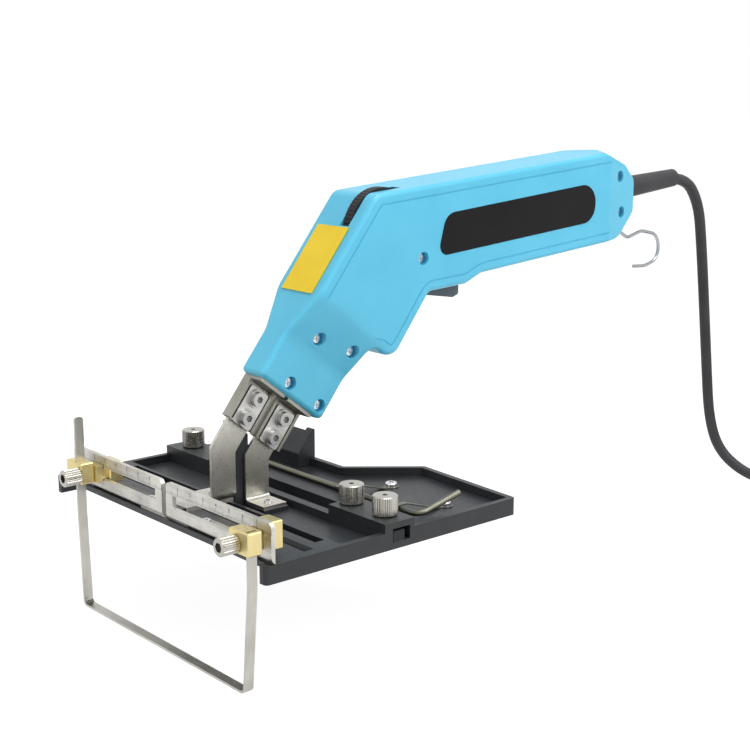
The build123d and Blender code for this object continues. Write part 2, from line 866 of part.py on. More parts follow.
def clamp_screw(screw_x):
    """Knurled socket head screw through block, slot and nut."""
    seat = Plane((screw_x, clamp_front - fit_gap, arm_slot_z), x_dir=(1, 0, 0), z_dir=(0, -1, 0))
    reach = clamp_depth + clamp_standoff + arm_thickness + run_gap + clamp_nut_depth
    with BuildPart() as screw:
        rod_along(seat, clamp_head_radius, 0, clamp_head_length)
        chamfer(screw.edges().filter_by(GeomType.CIRCLE), length=knurl_depth)
        knurl(seat, clamp_head_radius + knurl_depth / 3, knurl_depth, knurl_count * 2 // 3, clamp_head_length)
        rod_along(seat, clamp_shank_radius, -reach, 0)
        with BuildSketch(seat.offset(clamp_head_length)) as socket:
            RegularPolygon(clamp_hex_width / 2, 6, major_radius=False)
        extrude(socket.sketch, amount=-clamp_hex_depth, dir=seat.z_dir, mode=Mode.SUBTRACT)
    return screw


left_clamp = clamp_block(left_clamp_x, left_clamp_screw_x, blade_left_x)
right_clamp = clamp_block(right_clamp_x, right_clamp_screw_x, blade_right_x)
# The left nut lies on its side
left_clamp_nut = clamp_nut(left_clamp_screw_x, arm_slot_z, clamp_nut_height, clamp_nut_width)
right_clamp_nut = clamp_nut(right_clamp_screw_x, clamp_z, clamp_nut_width, clamp_nut_height)
left_clamp_screw = clamp_screw(left_clamp_screw_x)
right_clamp_screw = clamp_screw(right_clamp_screw_x)

# Blade, one strip bent to a U
with BuildPart() as blade:
    with BuildSketch(Plane.XZ.offset(-blade_y - blade_width / 2)):
        rounded_loop(
            bent_section(
                [
                    (blade_left_x, blade_left_top, 0),
                    (blade_left_x, blade_lean_start, blade_lean_radius),
                    (blade_left_foot_x, blade_bottom, blade_corner_radius),
                    (blade_right_foot_x, blade_bottom, blade_corner_radius),
                    (blade_right_x, blade_lean_start, blade_lean_radius),
                    (blade_right_x, blade_right_top, 0),
                ],
                blade_thickness,
            )
        )
    extrude(amount=blade_width)
    blade_tip = blade.edges().filter_by(Axis.X).group_by(Axis.Z)[-1]
    fillet(blade_tip, radius=0.35 * blade_width)

# Gun housing, as two half shells that meet at the split
handle_top_rear = elbow_z + (handle_top_end - elbow_y) * handle_slope
gun_corners = [
    (*nose(0, 0), nose_round),
    (elbow_y, elbow_z, elbow_round),
    (handle_top_end, handle_top_rear, handle_top_round),
    (tail_y, tail_top, tail_round),
    (tail_y, tail_bottom, tail_round),
    (*handle_bottom_rear, belly_round),
    (*handle_bottom_front, trigger_lip_round),
    (*trigger_lip_rear, trigger_lip_round),
    (*trigger_lip_front, trigger_lip_round),
    (*nose(heel_rise, heel_width), heel_round),
    (*nose(heel_rise, nose_width), heel_notch_round),
    (*nose(0, nose_width), chin_round),
]
neck_ramp = (gun_half - neck_half) / (neck_shoulder - neck_end)
tail_ramp = (gun_half - tail_half) / (tail_y - tail_crease_y)


def neck_thickness(up):
    """Half thickness of the gun at a height up the nose."""
    return min(gun_half, neck_half + neck_ramp * max(up - neck_end, 0))


def tail_thickness(y):
    """Half thickness of the gun at a place along the handle."""
    return gun_half - tail_ramp * max(y - tail_crease_y, 0)


# Y, Z and half thickness of the gun there
neck_screw_places = [(*nose(up, back), neck_thickness(up)) for up, back in neck_screw_spots]
body_screw_places = [(y, z, tail_thickness(y)) for y, z in body_screw_spots]
housing_screw_places = neck_screw_places + body_screw_places
cord_clamp_plane = Plane(
    origin=along_relief(-cord_clamp_place), x_dir=relief_direction, z_dir=(1, 0, 0)
)
cord_screw_offsets = (-cord_clamp_screw_offset, cord_clamp_screw_offset)
nose_section_plane = Plane(origin=nose_origin, x_dir=(1, 0, 0), z_dir=nose_up)
dial_plane = across(dial_y, dial_z)
trigger_plane = across(trigger_pivot_y, trigger_pivot_z)
hook_plane = across(*hook_pivot)
plate_corners = [
    (*plate_low_front, plate_low_front_round),
    (*plate_high_front, plate_high_front_round),
    (*plate_high_rear, plate_rear_round),
    (*plate_low_rear, plate_rear_round),
]


def cord_screw_axis(offset_up):
    """Plane on the axis of a cord clamp screw, pointing to the right side of the gun."""
    place = cord_clamp_plane.from_local_coords((0, offset_up, 0))
    return Plane(place, x_dir=relief_direction, z_dir=(1, 0, 0))


def gun_solid(side, inset):
    """Half of the gun body on one side of the split, drawn in by the inset on its outer faces."""
    half = gun_half - inset
    neck = neck_half - inset
    overrun = gun_half
    tail_end = tail_y + overrun
    tail_end_half = half - tail_ramp * (tail_end - tail_crease_y)
    with BuildPart() as body:
        with BuildSketch(Plane.YZ.offset(gun_x)):
            rounded_loop(gun_corners)
            if inset > 0:
                offset(amount=-inset)
        extrude(amount=side * (half + cut_past))
        with BuildSketch(side_plane.offset(-overrun)):
            rounded_loop(
                [
                    (-overrun, 0, 0),
                    (-overrun, side * neck, 0),
                    (neck_end, side * neck, neck_blend_radius),
                    (neck_shoulder, side * half, neck_blend_radius),
                    (2 * tail_y, side * half, 0),
                    (2 * tail_y, 0, 0),
                ]
            )
        extrude(amount=2 * tail_y, mode=Mode.INTERSECT)
        with BuildSketch():
            rounded_loop(
                [
                    (gun_x, -tail_y, 0),
                    (gun_x + side * (half + cut_past), -tail_y, 0),
                    (gun_x + side * (half + cut_past), tail_crease_y - cut_past / tail_ramp, 0),
                    (gun_x + side * tail_end_half, tail_end, 0),
                    (gun_x, tail_end, 0),
                ]
            )
        extrude(amount=tail_y, mode=Mode.INTERSECT)
        # Slanted cut over the rear top corner of the tail
        cut_x, cut_y, cut_z = tail_cut_corner
        normal_x, normal_y, normal_z = tail_cut_normal
        tail_cut_place = (gun_x + side * cut_x, cut_y, cut_z)
        tail_cut = Plane(tail_cut_place, z_dir=(side * normal_x, normal_y, normal_z))
        if inset == 0:
            walls = body.faces().filter_by(lambda face: abs(face.normal_at().X) < 0.01)
            sides = body.faces().filter_by(lambda face: face.normal_at().X * side > 0.3)
            fillet(walls.edges() & sides.edges(), radius=gun_edge_round)
            # Fine line round the side face, parallel to the outline
            with BuildSketch(Plane.YZ.offset(gun_x + side * (half - trim_line_depth))):
                rounded_loop(gun_corners)
                offset(amount=-trim_line_inset)
                offset(amount=-trim_line_width, mode=Mode.SUBTRACT)
            extrude(amount=side * gun_half, mode=Mode.SUBTRACT)
        split(bisect_by=tail_cut.offset(-inset), keep=Keep.BOTTOM)
    return body.part


def housing_half(side):
    """Half shell with its screw bosses and the seats of what both halves hold."""
    outer = gun_solid(side, 0)
    cavity = gun_solid(side, gun_wall)
    wall_middle = gun_half - gun_wall / 2
    with BuildPart() as shell:
        add(outer)
        add(cavity, mode=Mode.SUBTRACT)
        # Pads that hold the core and the switch
        for pad_middle in (core_front + core_leg / 2, core_front + core_width - core_leg / 2):
            with BuildSketch(face_plane.offset(-side * core_half_depth)) as pad:
                with Locations((core_low + core_length / 2, pad_middle)):
                    Rectangle(core_window, core_leg - 2 * cut_past)
            extrude(pad.sketch, amount=wall_middle - core_half_depth, dir=(side, 0, 0))
        switch_middle = across(switch_front + switch_length / 2, switch_bottom + switch_height / 2)
        with BuildSketch(switch_middle.offset(side * switch_half_width)) as pad:
            Rectangle(switch_length / 2, switch_height / 2)
        extrude(pad.sketch, amount=wall_middle - switch_half_width, dir=(side, 0, 0))
        # Bosses and bores of the trigger pin and of the hook
        trigger_side = trigger_half_width + run_gap
        rod_along(trigger_plane, trigger_boss_radius, side * trigger_side, side * wall_middle)
        pin_reach = trigger_pin_half_length + fit_gap
        rod_along(trigger_plane, trigger_pin_radius + screw_fit, -pin_reach, pin_reach, Mode.SUBTRACT)
        rod_along(hook_plane, hook_boss_radius, 0, side * (hook_pin_half_length + hook_boss_radius / 2))
        hook_reach = hook_pin_half_length + run_gap
        rod_along(hook_plane, hook_wire_radius + fit_gap, -hook_reach, hook_reach, Mode.SUBTRACT)
        hook_side = hook_wire_radius + run_gap
        notch_root = hook_wire_radius + 2 * run_gap
        notch_corners = [(0, notch_root, 0), (-notch_root, 0, 0)]
        for angle in hook_notch_angles:
            notch_y = hook_notch_reach * math.cos(math.radians(angle))
            notch_z = hook_notch_reach * math.sin(math.radians(angle))
            notch_corners.append((notch_y, notch_z, 0))
        with BuildSketch(hook_plane.offset(-hook_side)) as notch:
            rounded_loop(notch_corners)
        extrude(notch.sketch, amount=2 * hook_side, dir=(1, 0, 0), mode=Mode.SUBTRACT)
        # Slot of the trigger, windows of the output bars and hole of the strain relief
        block(
            (gun_x - trigger_side, gun_x + trigger_side),
            (trigger_front - run_gap, trigger_rear + trigger_swing_room),
            (nose_z, switch_bottom - switch_gap),
            Mode.SUBTRACT,
        )
        for middle in (front_terminal_middle, rear_terminal_middle):
            with BuildSketch(nose_section_plane.offset(-cut_past)) as window:
                with Locations((0, middle)):
                    Rectangle(2 * (output_bar_half_width + screw_fit), output_bar_thickness + 2 * screw_fit)
            extrude(window.sketch, amount=2 * gun_wall, dir=nose_up, mode=Mode.SUBTRACT)
        rod_along(relief_plane, relief_root_radius + fit_gap, -2 * gun_wall, gun_wall, Mode.SUBTRACT)
        # Screw bosses
        hole_radius = screw_shank_radius + screw_fit
        for place_y, place_z, half in housing_screw_places:
            boss = across(place_y, place_z)
            rod_along(boss, screw_bore_radius + screw_boss_wall, 0, side * (half - gun_wall / 2))
            if side > 0:
                rod_along(boss, hole_radius, -cut_past, gun_half, Mode.SUBTRACT)
                rod_along(boss, screw_bore_radius, half - screw_recess, gun_half + cut_past, Mode.SUBTRACT)
            else:
                rod_along(boss, hole_radius, -screw_reach - fit_gap, cut_past, Mode.SUBTRACT)
    return shell.part


right_shell = housing_half(1)
with BuildPart() as housing_right:
    add(right_shell)
    # Slot of the dial and recess of the nameplate
    rod_along(
        dial_plane,
        dial_slot_radius,
        dial_inner - dial_slot_gap,
        dial_outer + dial_slot_gap,
        Mode.SUBTRACT,
    )
    with BuildSketch(Plane.YZ.offset(gun_x + gun_half - plate_recess)):
        rounded_loop(plate_corners)
    extrude(amount=gun_half, mode=Mode.SUBTRACT)

left_shell = housing_half(-1)
with BuildPart() as housing_left:
    add(left_shell)
    # Posts of the board and saddle of the cord clamp
    for up, back in board_post_spots:
        rod_along(across(*nose(up, back)), post_radius, gun_wall / 2 - gun_half, board_offset)
    saddle_wall = tail_thickness(tail_y - cord_clamp_place) - gun_wall / 2
    with BuildSketch(cord_clamp_plane.offset(-cord_radius - screw_fit)) as saddle:
        Rectangle(cord_clamp_length, 2 * cord_clamp_half_width)
    extrude(saddle.sketch, amount=cord_radius + screw_fit - saddle_wall, dir=(1, 0, 0))
    for offset_up in cord_screw_offsets:
        hole = cord_screw_axis(offset_up)
        rod_along(hole, cord_screw_radius + screw_fit, -cord_screw_reach - fit_gap, 0, Mode.SUBTRACT)


def housing_screws(places):
    """Cross head screws from the counterbores of the right half into the left half."""
    with BuildPart() as screws:
        for place_y, place_z, half in places:
            axis = across(place_y, place_z)
            seat = half - screw_recess
            rod_along(axis, screw_head_radius, seat, seat + screw_head_height)
            rod_along(axis, screw_shank_radius, -screw_reach, seat)
            cross_slot(axis.offset(seat + screw_head_height), cross_length, cross_width, cross_depth)
    return screws


neck_screws = housing_screws(neck_screw_places)
body_screws = housing_screws(body_screw_places)

# Bare nameplate and front panel
with BuildPart() as nameplate:
    with BuildSketch(Plane.YZ.offset(gun_x + gun_half - plate_recess)):
        rounded_loop(plate_corners)
        offset(amount=-fit_gap)
    extrude(amount=plate_thickness)

with BuildPart() as front_panel:
    with BuildSketch(side_plane.offset(-panel_thickness)):
        with Locations(((panel_start + panel_end) / 2, 0)):
            Rectangle(panel_end - panel_start, panel_width)
    extrude(amount=panel_thickness)

# Heat dial with its shaft, the potentiometer and the board that carries it
with BuildPart() as heat_dial:
    rod_along(dial_plane, dial_radius, dial_inner, dial_outer)
    knurl(
        dial_plane.offset(dial_inner),
        dial_radius + dial_ridge_depth / 3,
        dial_ridge_depth,
        dial_ridge_count,
        dial_thickness,
    )
    rod_along(dial_plane, dial_shaft_radius, dial_inner - dial_shaft_length, dial_inner)

with BuildPart() as potentiometer:
    rod_along(dial_plane, pot_radius, pot_face, dial_inner - run_gap)
    rod_along(
        dial_plane,
        dial_shaft_radius + fit_gap,
        dial_inner - dial_shaft_length - run_gap,
        dial_inner,
        Mode.SUBTRACT,
    )

with BuildPart() as control_board:
    with BuildSketch(face_plane.offset(-board_offset)) as board_outline:
        with Locations(((board_low + board_high) / 2, (board_front + board_rear) / 2)):
            Rectangle(board_high - board_low, board_rear - board_front)
    extrude(board_outline.sketch, amount=board_thickness, dir=(1, 0, 0))

# Trigger on its pin, and the switch above it
trigger_top = trigger_pivot_z + trigger_boss_radius + screw_boss_wall / 4
with BuildPart() as trigger:
    with BuildSketch(Plane.YZ.offset(gun_x - trigger_half_width)):
        rounded_loop(
            [
                (trigger_front, trigger_top, 2 * trigger_round),
                (trigger_front, trigger_shoulder_z, trigger_round),
                (*trigger_chin, trigger_round),
                (*trigger_tip, trigger_round),
                (trigger_rear, trigger_tip_z, trigger_round),
                (trigger_rear, trigger_pivot_z, trigger_round),
                (trigger_front + trigger_step, trigger_pivot_z, trigger_round / 2),
                (trigger_front + trigger_step_start, trigger_top, trigger_round),
            ]
        )
    extrude(amount=2 * trigger_half_width)
    rod_along(trigger_plane, trigger_pin_radius + fit_gap, -gun_half, gun_half, Mode.SUBTRACT)

with BuildPart() as trigger_pin:
    rod_along(trigger_plane, trigger_pin_radius, -trigger_pin_half_length, trigger_pin_half_length)

with BuildPart() as switch_body:
    block(
        (gun_x - switch_half_width, gun_x + switch_half_width),
        (switch_front, switch_front + switch_length),
        (switch_bottom, switch_bottom + switch_height),
    )
    chamfer(switch_body.edges(), length=switch_chamfer)

# Transformer: core with two windows and the winding round its middle leg
window_width = core_width / 2 - 2 * core_leg
with BuildPart() as transformer_core:
    with BuildSketch(face_plane.offset(-core_half_depth)):
        with Locations((core_low + core_length / 2, core_middle)):
            Rectangle(core_length, core_width)
            with Locations((0, -core_leg - window_width / 2), (0, core_leg + window_width / 2)):
                Rectangle(core_window, window_width, mode=Mode.SUBTRACT)
    extrude(amount=2 * core_half_depth)

winding_plane = Plane(
    origin=(gun_x, *nose(core_low + core_length / 2, core_middle)), x_dir=(1, 0, 0), z_dir=nose_up
)
with BuildPart() as primary_winding:
    with BuildSketch(winding_plane):
        Rectangle(
            2 * (core_half_depth + winding_side),
            2 * (core_leg + window_width - winding_gap),
        )
        Rectangle(
            2 * (core_half_depth + winding_gap),
            2 * (core_leg + winding_gap),
            mode=Mode.SUBTRACT,
        )
    extrude(amount=core_window / 2 - winding_gap, both=True)


# Output bars down the neck and the spacer that holds them apart
def output_bar(middle):
    """Copper bar from the transformer through the end of the nose."""
    with BuildPart() as bar:
        with BuildSketch(nose_section_plane):
            with Locations((0, middle)):
                Rectangle(2 * output_bar_half_width, output_bar_thickness)
        extrude(amount=output_bar_end)
    return bar


front_output_bar = output_bar(front_terminal_middle)
rear_output_bar = output_bar(rear_terminal_middle)

with BuildPart() as bar_spacer:
    with BuildSketch(nose_section_plane.offset(spacer_low)):
        with Locations((0, nose_width / 2)):
            Rectangle(
                2 * (neck_half - gun_wall - spacer_gap),
                nose_width - 2 * (gun_wall + spacer_gap),
            )
        with Locations((0, front_terminal_middle), (0, rear_terminal_middle)):
            Rectangle(
                2 * (output_bar_half_width + screw_fit),
                output_bar_thickness + 2 * screw_fit,
                mode=Mode.SUBTRACT,
            )
    extrude(amount=spacer_length)


# Terminals: a folded bracket, a clamp plate and two socket screws for each contact strip
def pinch_axes(middle):
    """Planes on the axes of a terminal's two screws, pointing to the right side of the gun."""
    return [across(*nose(-place, middle)) for place in pinch_screw_places]


def output_bracket(middle):
    """Folded channel below the nose with a tab against the end of its output bar."""
    half = terminal_width / 2
    with BuildPart() as bracket:
        with BuildSketch(nose_section_plane.offset(-terminal_length)):
            with Locations((terminal_back, middle)):
                Rectangle(terminal_flange_edge - terminal_back, 2 * half, align=(Align.MIN, Align.CENTER))
            with Locations((strip_back, middle)):
                Rectangle(
                    gun_half,
                    2 * (half - sheet),
                    align=(Align.MIN, Align.CENTER),
                    mode=Mode.SUBTRACT,
                )
        extrude(amount=terminal_length)
        with BuildSketch(nose_section_plane.offset(-sheet)):
            with Locations((terminal_back, middle)):
                Rectangle(terminal_tab_end - terminal_back, 2 * half, align=(Align.MIN, Align.CENTER))
        extrude(amount=sheet)
        for axis in pinch_axes(middle):
            rod_along(axis, pinch_shank_radius + screw_fit, -gun_half, strip_back, Mode.SUBTRACT)
    return bracket


def contact_strip(middle, edge, seat, turn):
    """Strip from a terminal, kinked to the vertical, with a foot turned to one side."""
    near = middle - strip_width / 2
    far = middle + strip_width / 2
    top = -sheet - run_gap
    near_kink = (edge - nose_y - near * nose_sin) / nose_cos
    far_kink = (edge + strip_width - nose_y - far * nose_sin) / nose_cos
    leg_top = seat + 5 * strip_bend_radius
    x_middle = gun_x + (strip_back + strip_face) / 2
    with BuildPart() as strip:
        with BuildSketch(Plane.YZ.offset(gun_x + strip_back)):
            rounded_loop(
                [
                    (*nose(top, near), 0),
                    (*nose(near_kink, near), strip_bend_radius),
                    (edge, leg_top, 0),
                    (edge + strip_width, leg_top, 0),
                    (*nose(far_kink, far), strip_bend_radius),
                    (*nose(top, far), 0),
                ]
            )
        extrude(amount=sheet)
        with BuildSketch(Plane.XZ.offset(-edge - strip_width)):
            rounded_loop(
                bent_section(
                    [
                        (x_middle, leg_top, 0),
                        (x_middle, seat + sheet / 2, strip_bend_radius),
                        (x_middle + turn * (strip_foot_length + sheet / 2), seat + sheet / 2, 0),
                    ],
                    sheet,
                )
            )
        extrude(amount=strip_width)
        for axis in pinch_axes(middle):
            rod_along(axis, pinch_shank_radius + fit_gap, -gun_half, gun_half, Mode.SUBTRACT)
        screw_x = x_middle + turn * (sheet / 2 + foot_screw_reach)
        hole = Plane((screw_x, edge + strip_width / 2, seat))
        rod_along(hole, foot_shank_radius + screw_fit, -cut_past, sheet + cut_past, Mode.SUBTRACT)
    return strip


def clamp_plate(middle):
    """Thick plate that presses a strip into its bracket."""
    with BuildPart() as plate:
        with BuildSketch(face_plane.offset(-pinch_face)):
            with Locations((-pinch_start - pinch_length / 2, middle)):
                RectangleRounded(pinch_length, pinch_width, pinch_round)
        extrude(amount=pinch_thickness)
        for axis in pinch_axes(middle):
            rod_along(axis, pinch_shank_radius + fit_gap, -gun_half, gun_half, Mode.SUBTRACT)
    return plate


front_bracket = output_bracket(front_terminal_middle)
rear_bracket = output_bracket(rear_terminal_middle)
front_strip = contact_strip(front_terminal_middle, front_strip_edge, front_foot_seat, -1)
rear_strip = contact_strip(rear_terminal_middle, rear_strip_edge, rear_foot_seat, 1)
front_clamp_plate = clamp_plate(front_terminal_middle)
rear_clamp_plate = clamp_plate(rear_terminal_middle)

with BuildPart() as terminal_screws:
    for middle in (front_terminal_middle, rear_terminal_middle):
        for axis in pinch_axes(middle):
            rod_along(axis, pinch_flange_radius, pinch_face, pinch_face + pinch_flange_height)
            rod_along(axis, pinch_head_radius, pinch_face, pinch_face + pinch_head_height)
            rod_along(axis, pinch_shank_radius, terminal_back, pinch_face)
            with BuildSketch(axis.offset(pinch_face + pinch_head_height)) as socket:
                RegularPolygon(pinch_hex_width / 2, 6, major_radius=False)
            extrude(socket.sketch, amount=-pinch_hex_depth, dir=(1, 0, 0), mode=Mode.SUBTRACT)

with BuildPart() as foot_screws:
    foot_tops = (
        (front_foot_screw_x, front_strip_edge, front_foot_seat + sheet),
        (rear_foot_screw_x, rear_strip_edge, rear_foot_seat + sheet),
    )
    for screw_x, edge, foot_top in foot_tops:
        seat = Plane((screw_x, edge + strip_width / 2, foot_top))
        rod_along(seat, foot_head_radius, 0, foot_head_height)
        rod_along(seat, foot_shank_radius, -foot_shank_length, 0)
        cross_slot(seat.offset(foot_head_height), cross_length, cross_width, cross_depth)

# Strain relief with the sheath of the cord inside the tail, and the clamp on it
with BuildPart() as strain_relief:
    rod_along(relief_plane, relief_root_radius, -relief_flange_start, 0)
    with BuildSketch(relief_plane):
        Circle(relief_root_radius)
    with BuildSketch(relief_plane.offset(relief_length)):
        Circle(relief_tip_radius)
    loft()
    rod_along(
        relief_plane,
        relief_flange_radius,
        -relief_flange_start - relief_flange_thickness,
        -relief_flange_start,
    )
    rod_along(relief_plane, cord_radius, -sheath_length, -relief_flange_start)
    rod_along(
        relief_plane,
        cord_radius + screw_fit,
        relief_length - relief_bore_depth,
        relief_length + cut_past,
        Mode.SUBTRACT,
    )

with BuildPart() as cord_clamp:
    with BuildSketch(cord_clamp_plane.offset(cord_radius + screw_fit)):
        Rectangle(cord_clamp_length, 2 * cord_clamp_half_width)
        with Locations(*[(0, offset_up) for offset_up in cord_screw_offsets]):
            Circle(cord_screw_radius + screw_fit, mode=Mode.SUBTRACT)
    extrude(amount=cord_clamp_thickness)

with BuildPart() as cord_clamp_screws:
    clamp_top = cord_radius + screw_fit + cord_clamp_thickness
    for offset_up in cord_screw_offsets:
        axis = cord_screw_axis(offset_up)
        rod_along(axis, cord_screw_head_radius, clamp_top, clamp_top + cord_screw_head_height)
        rod_along(axis, cord_screw_radius, -cord_screw_reach, clamp_top)

# Hanging hook, one wire from a cross pin in the tail
with BuildPart() as hanging_hook:
    with BuildLine(Plane.YZ.offset(gun_x)) as hook_line:
        FilletPolyline(hook_pivot, *hook_bends, hook_tip, radius=hook_bend_radii)
    with BuildSketch(Plane(origin=hook_line.line @ 0, z_dir=hook_line.line % 0)):
        Circle(hook_wire_radius)
    sweep()
    rod_along(hook_plane, hook_wire_radius, -hook_pin_half_length, hook_pin_half_length)


# Power cord: its free stretch, the coil that is put away, its tie and the plug
def route_radii(route):
    """Bend radius at each inner point of a cord's route, as large as its two runs allow."""
    radii = []
    for before, here, after in zip(route, route[1:], route[2:]):
        into = Vector(here) - Vector(before)
        out = Vector(after) - Vector(here)
        half_turn = math.radians(into.get_angle(out)) / 2
        radii.append(0.45 * min(into.length, out.length) / math.tan(half_turn))
    return radii


coil_entry = coil_plane.from_local_coords((coil_outer, -2 * cord_radius, 0))
coil_approach = coil_plane.from_local_coords((coil_outer, -2 * cord_radius - coil_lead_in, 0))
cord_route = [
    along_relief(relief_length - relief_bore_depth),
    along_relief(relief_length + relief_straight),
    (gun_x, 312.4, 129.3),
    (gun_x, 317.4, 103.5),
    (gun_x, 323.0, 66.5),
    (gun_x, 329.0, 25.0),
    (12.5, 332.4, -8.0),
    (17.5, 337.0, -29.0),
    (31.0, 343.0, -41.5),
    (51.0, 343.0, coil_bottom),
    tuple(coil_approach),
    tuple(coil_entry),
]
cord_radii = route_radii(cord_route)
with BuildPart() as power_cord:
    with BuildLine() as cord_line:
        FilletPolyline(*cord_route, radius=cord_radii)
    with BuildSketch(Plane(origin=cord_line.line @ 0, z_dir=relief_direction)):
        Circle(cord_radius)
    sweep()

# Places where the coil crosses its own middle line: across, and up from the lower layer
coil_crossings = [(coil_outer, 0.0)]
coil_reach = coil_outer
coil_side = 1
for turn in range(coil_turns_in + 1 + coil_turns_out):
    coil_side = -coil_side
    if turn < coil_turns_in:
        coil_reach -= coil_pitch / 2
    elif turn > coil_turns_in:
        coil_reach += coil_pitch / 2
    layer = 0.0 if turn < coil_turns_in else coil_pitch
    coil_crossings.append((coil_side * coil_reach, layer))
coil_end = coil_crossings[-1]
with BuildPart() as cord_coil:
    with BuildLine(coil_plane) as coil_line:
        Line((coil_outer, -2 * cord_radius, 0), (coil_outer, 0, 0))
        for turn in range(len(coil_crossings) - 1):
            start = Vector(coil_crossings[turn][0], 0, coil_crossings[turn][1])
            end = Vector(coil_crossings[turn + 1][0], 0, coil_crossings[turn + 1][1])
            bulge = (end - start).length / 2 * (1 if turn % 2 == 0 else -1)
            crest = (start + end) * 0.5 + Vector(0, bulge, 0)
            ThreePointArc(tuple(start), tuple(crest), tuple(end))
        Line((coil_end[0], 0, coil_end[1]), (coil_end[0], 2 * cord_radius, coil_end[1]))
    with BuildSketch(Plane(origin=coil_entry, z_dir=coil_plane.y_dir)):
        Circle(cord_radius)
    sweep()

# Tie round the turns on the far side of the coil
tie_spots = [-across_x for across_x, layer in coil_crossings if across_x < 0]
tie_inner = min(tie_spots) - tie_width ** 2 / (8 * min(tie_spots)) - cord_radius - tie_gap
tie_outer = max(tie_spots) + cord_radius + tie_gap
tie_plane = Plane(
    origin=coil_plane.from_local_coords((-(tie_inner + tie_outer) / 2, -tie_width / 2, coil_pitch / 2)),
    x_dir=coil_plane.x_dir,
    z_dir=coil_plane.y_dir,
)
tie_opening_width = tie_outer - tie_inner
tie_opening_height = coil_pitch + 2 * (cord_radius + tie_gap)
with BuildPart() as cord_tie:
    with BuildSketch(tie_plane):
        RectangleRounded(
            tie_opening_width + 2 * tie_thickness,
            tie_opening_height + 2 * tie_thickness,
            2 * tie_thickness,
        )
        RectangleRounded(tie_opening_width, tie_opening_height, tie_thickness, mode=Mode.SUBTRACT)
    extrude(amount=tie_width)

plug_plane = Plane(
    origin=coil_plane.from_local_coords((coil_end[0], 2 * cord_radius, coil_end[1])),
    x_dir=coil_plane.x_dir,
    z_dir=coil_plane.y_dir,
)
with BuildPart() as plug:
    with BuildSketch(plug_plane):
        Circle(plug_relief_radius)
    with BuildSketch(plug_plane.offset(plug_relief_length)):
        Circle(plug_relief_root_radius)
    loft()
    with BuildSketch(plug_plane.offset(plug_relief_length)):
        RectangleRounded(plug_width, plug_height, plug_round)
    extrude(amount=plug_length)
    plug_face = plug.faces().sort_by(Axis(plug_plane.origin, plug_plane.z_dir))[-1]
    fillet(plug_face.edges(), radius=plug_round / 2)

with BuildPart() as plug_pins:
    with BuildSketch(plug_plane.offset(plug_relief_length + plug_length)):
        with Locations((-pin_spacing / 2, 0), (pin_spacing / 2, 0)):
            Rectangle(pin_thickness, pin_width)
    extrude(amount=pin_length)

# Sizes of the cord to read while the model is built
coil_wire = coil_line.wire()
cord_length = cord_line.wire().length
coil_length = coil_wire.length
section_area = math.pi * cord_radius ** 2
print("cord radii", [round(radius, 1) for radius in cord_radii])
print("free stretch", round(cord_length, 1), "coil", round(coil_length, 1))
print("volume against section times length", round(power_cord.part.volume / (section_area * cord_length), 5))
coil_volume = cord_coil.part.volume
print("coil volume against section times length", round(coil_volume / (section_area * coil_length), 5))
coil_samples = 700
coil_points = [coil_wire @ (i / coil_samples) for i in range(coil_samples + 1)]
far_apart = int(4 * cord_radius * coil_samples / coil_length) + 1
least_gap = min(
    (coil_points[i] - coil_points[j]).length - 2 * cord_radius
    for i in range(len(coil_points))
    for j in range(i + far_apart, len(coil_points))
)
print("least gap of the coil to itself", round(least_gap, 2))

# Every piece, under the name of its node
pieces = {
    "base_plate": base_plate,
    "right_inner_knob": right_inner_knob,
    "right_outer_knob": right_outer_knob,
    "left_knob": left_knob,
    "right_guide_bar": right_guide_bar,
    "left_guide_bar": left_guide_bar,
    "guide_rod": guide_rod,
    "rod_springs": rod_springs,
    "spring_screws": spring_screws,
    "left_arm": left_arm,
    "right_arm": right_arm,
    "arm_screws": arm_screws,
    "left_clamp": left_clamp,
    "right_clamp": right_clamp,
    "left_clamp_nut": left_clamp_nut,
    "right_clamp_nut": right_clamp_nut,
    "left_clamp_screw": left_clamp_screw,
    "right_clamp_screw": right_clamp_screw,
    "blade": blade,
    "housing_right": housing_right,
    "housing_left": housing_left,
    "neck_screws": neck_screws,
    "body_screws": body_screws,
    "nameplate": nameplate,
    "front_panel": front_panel,
    "heat_dial": heat_dial,
    "potentiometer": potentiometer,
    "control_board": control_board,
    "trigger": trigger,
    "trigger_pin": trigger_pin,
    "switch_body": switch_body,
    "transformer_core": transformer_core,
    "primary_winding": primary_winding,
    "front_output_bar": front_output_bar,
    "rear_output_bar": rear_output_bar,
    "bar_spacer": bar_spacer,
    "front_bracket": front_bracket,
    "rear_bracket": rear_bracket,
    "front_strip": front_strip,
    "rear_strip": rear_strip,
    "front_clamp_plate": front_clamp_plate,
    "rear_clamp_plate": rear_clamp_plate,
    "terminal_screws": terminal_screws,
    "foot_screws": foot_screws,
    "strain_relief": strain_relief,
    "cord_clamp": cord_clamp,
    "cord_clamp_screws": cord_clamp_screws,
    "hanging_hook": hanging_hook,
    "power_cord": power_cord,
    "cord_coil": cord_coil,
    "cord_tie": cord_tie,
    "plug": plug,
    "plug_pins": plug_pins,
}
for name, piece in pieces.items():
    piece.part.label = name
    export_step(piece.part, f"parts/{name}.step")
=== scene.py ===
"""Foam cutting knife on its guide sledge: camera, finishes, cord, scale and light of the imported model."""

import json
import math

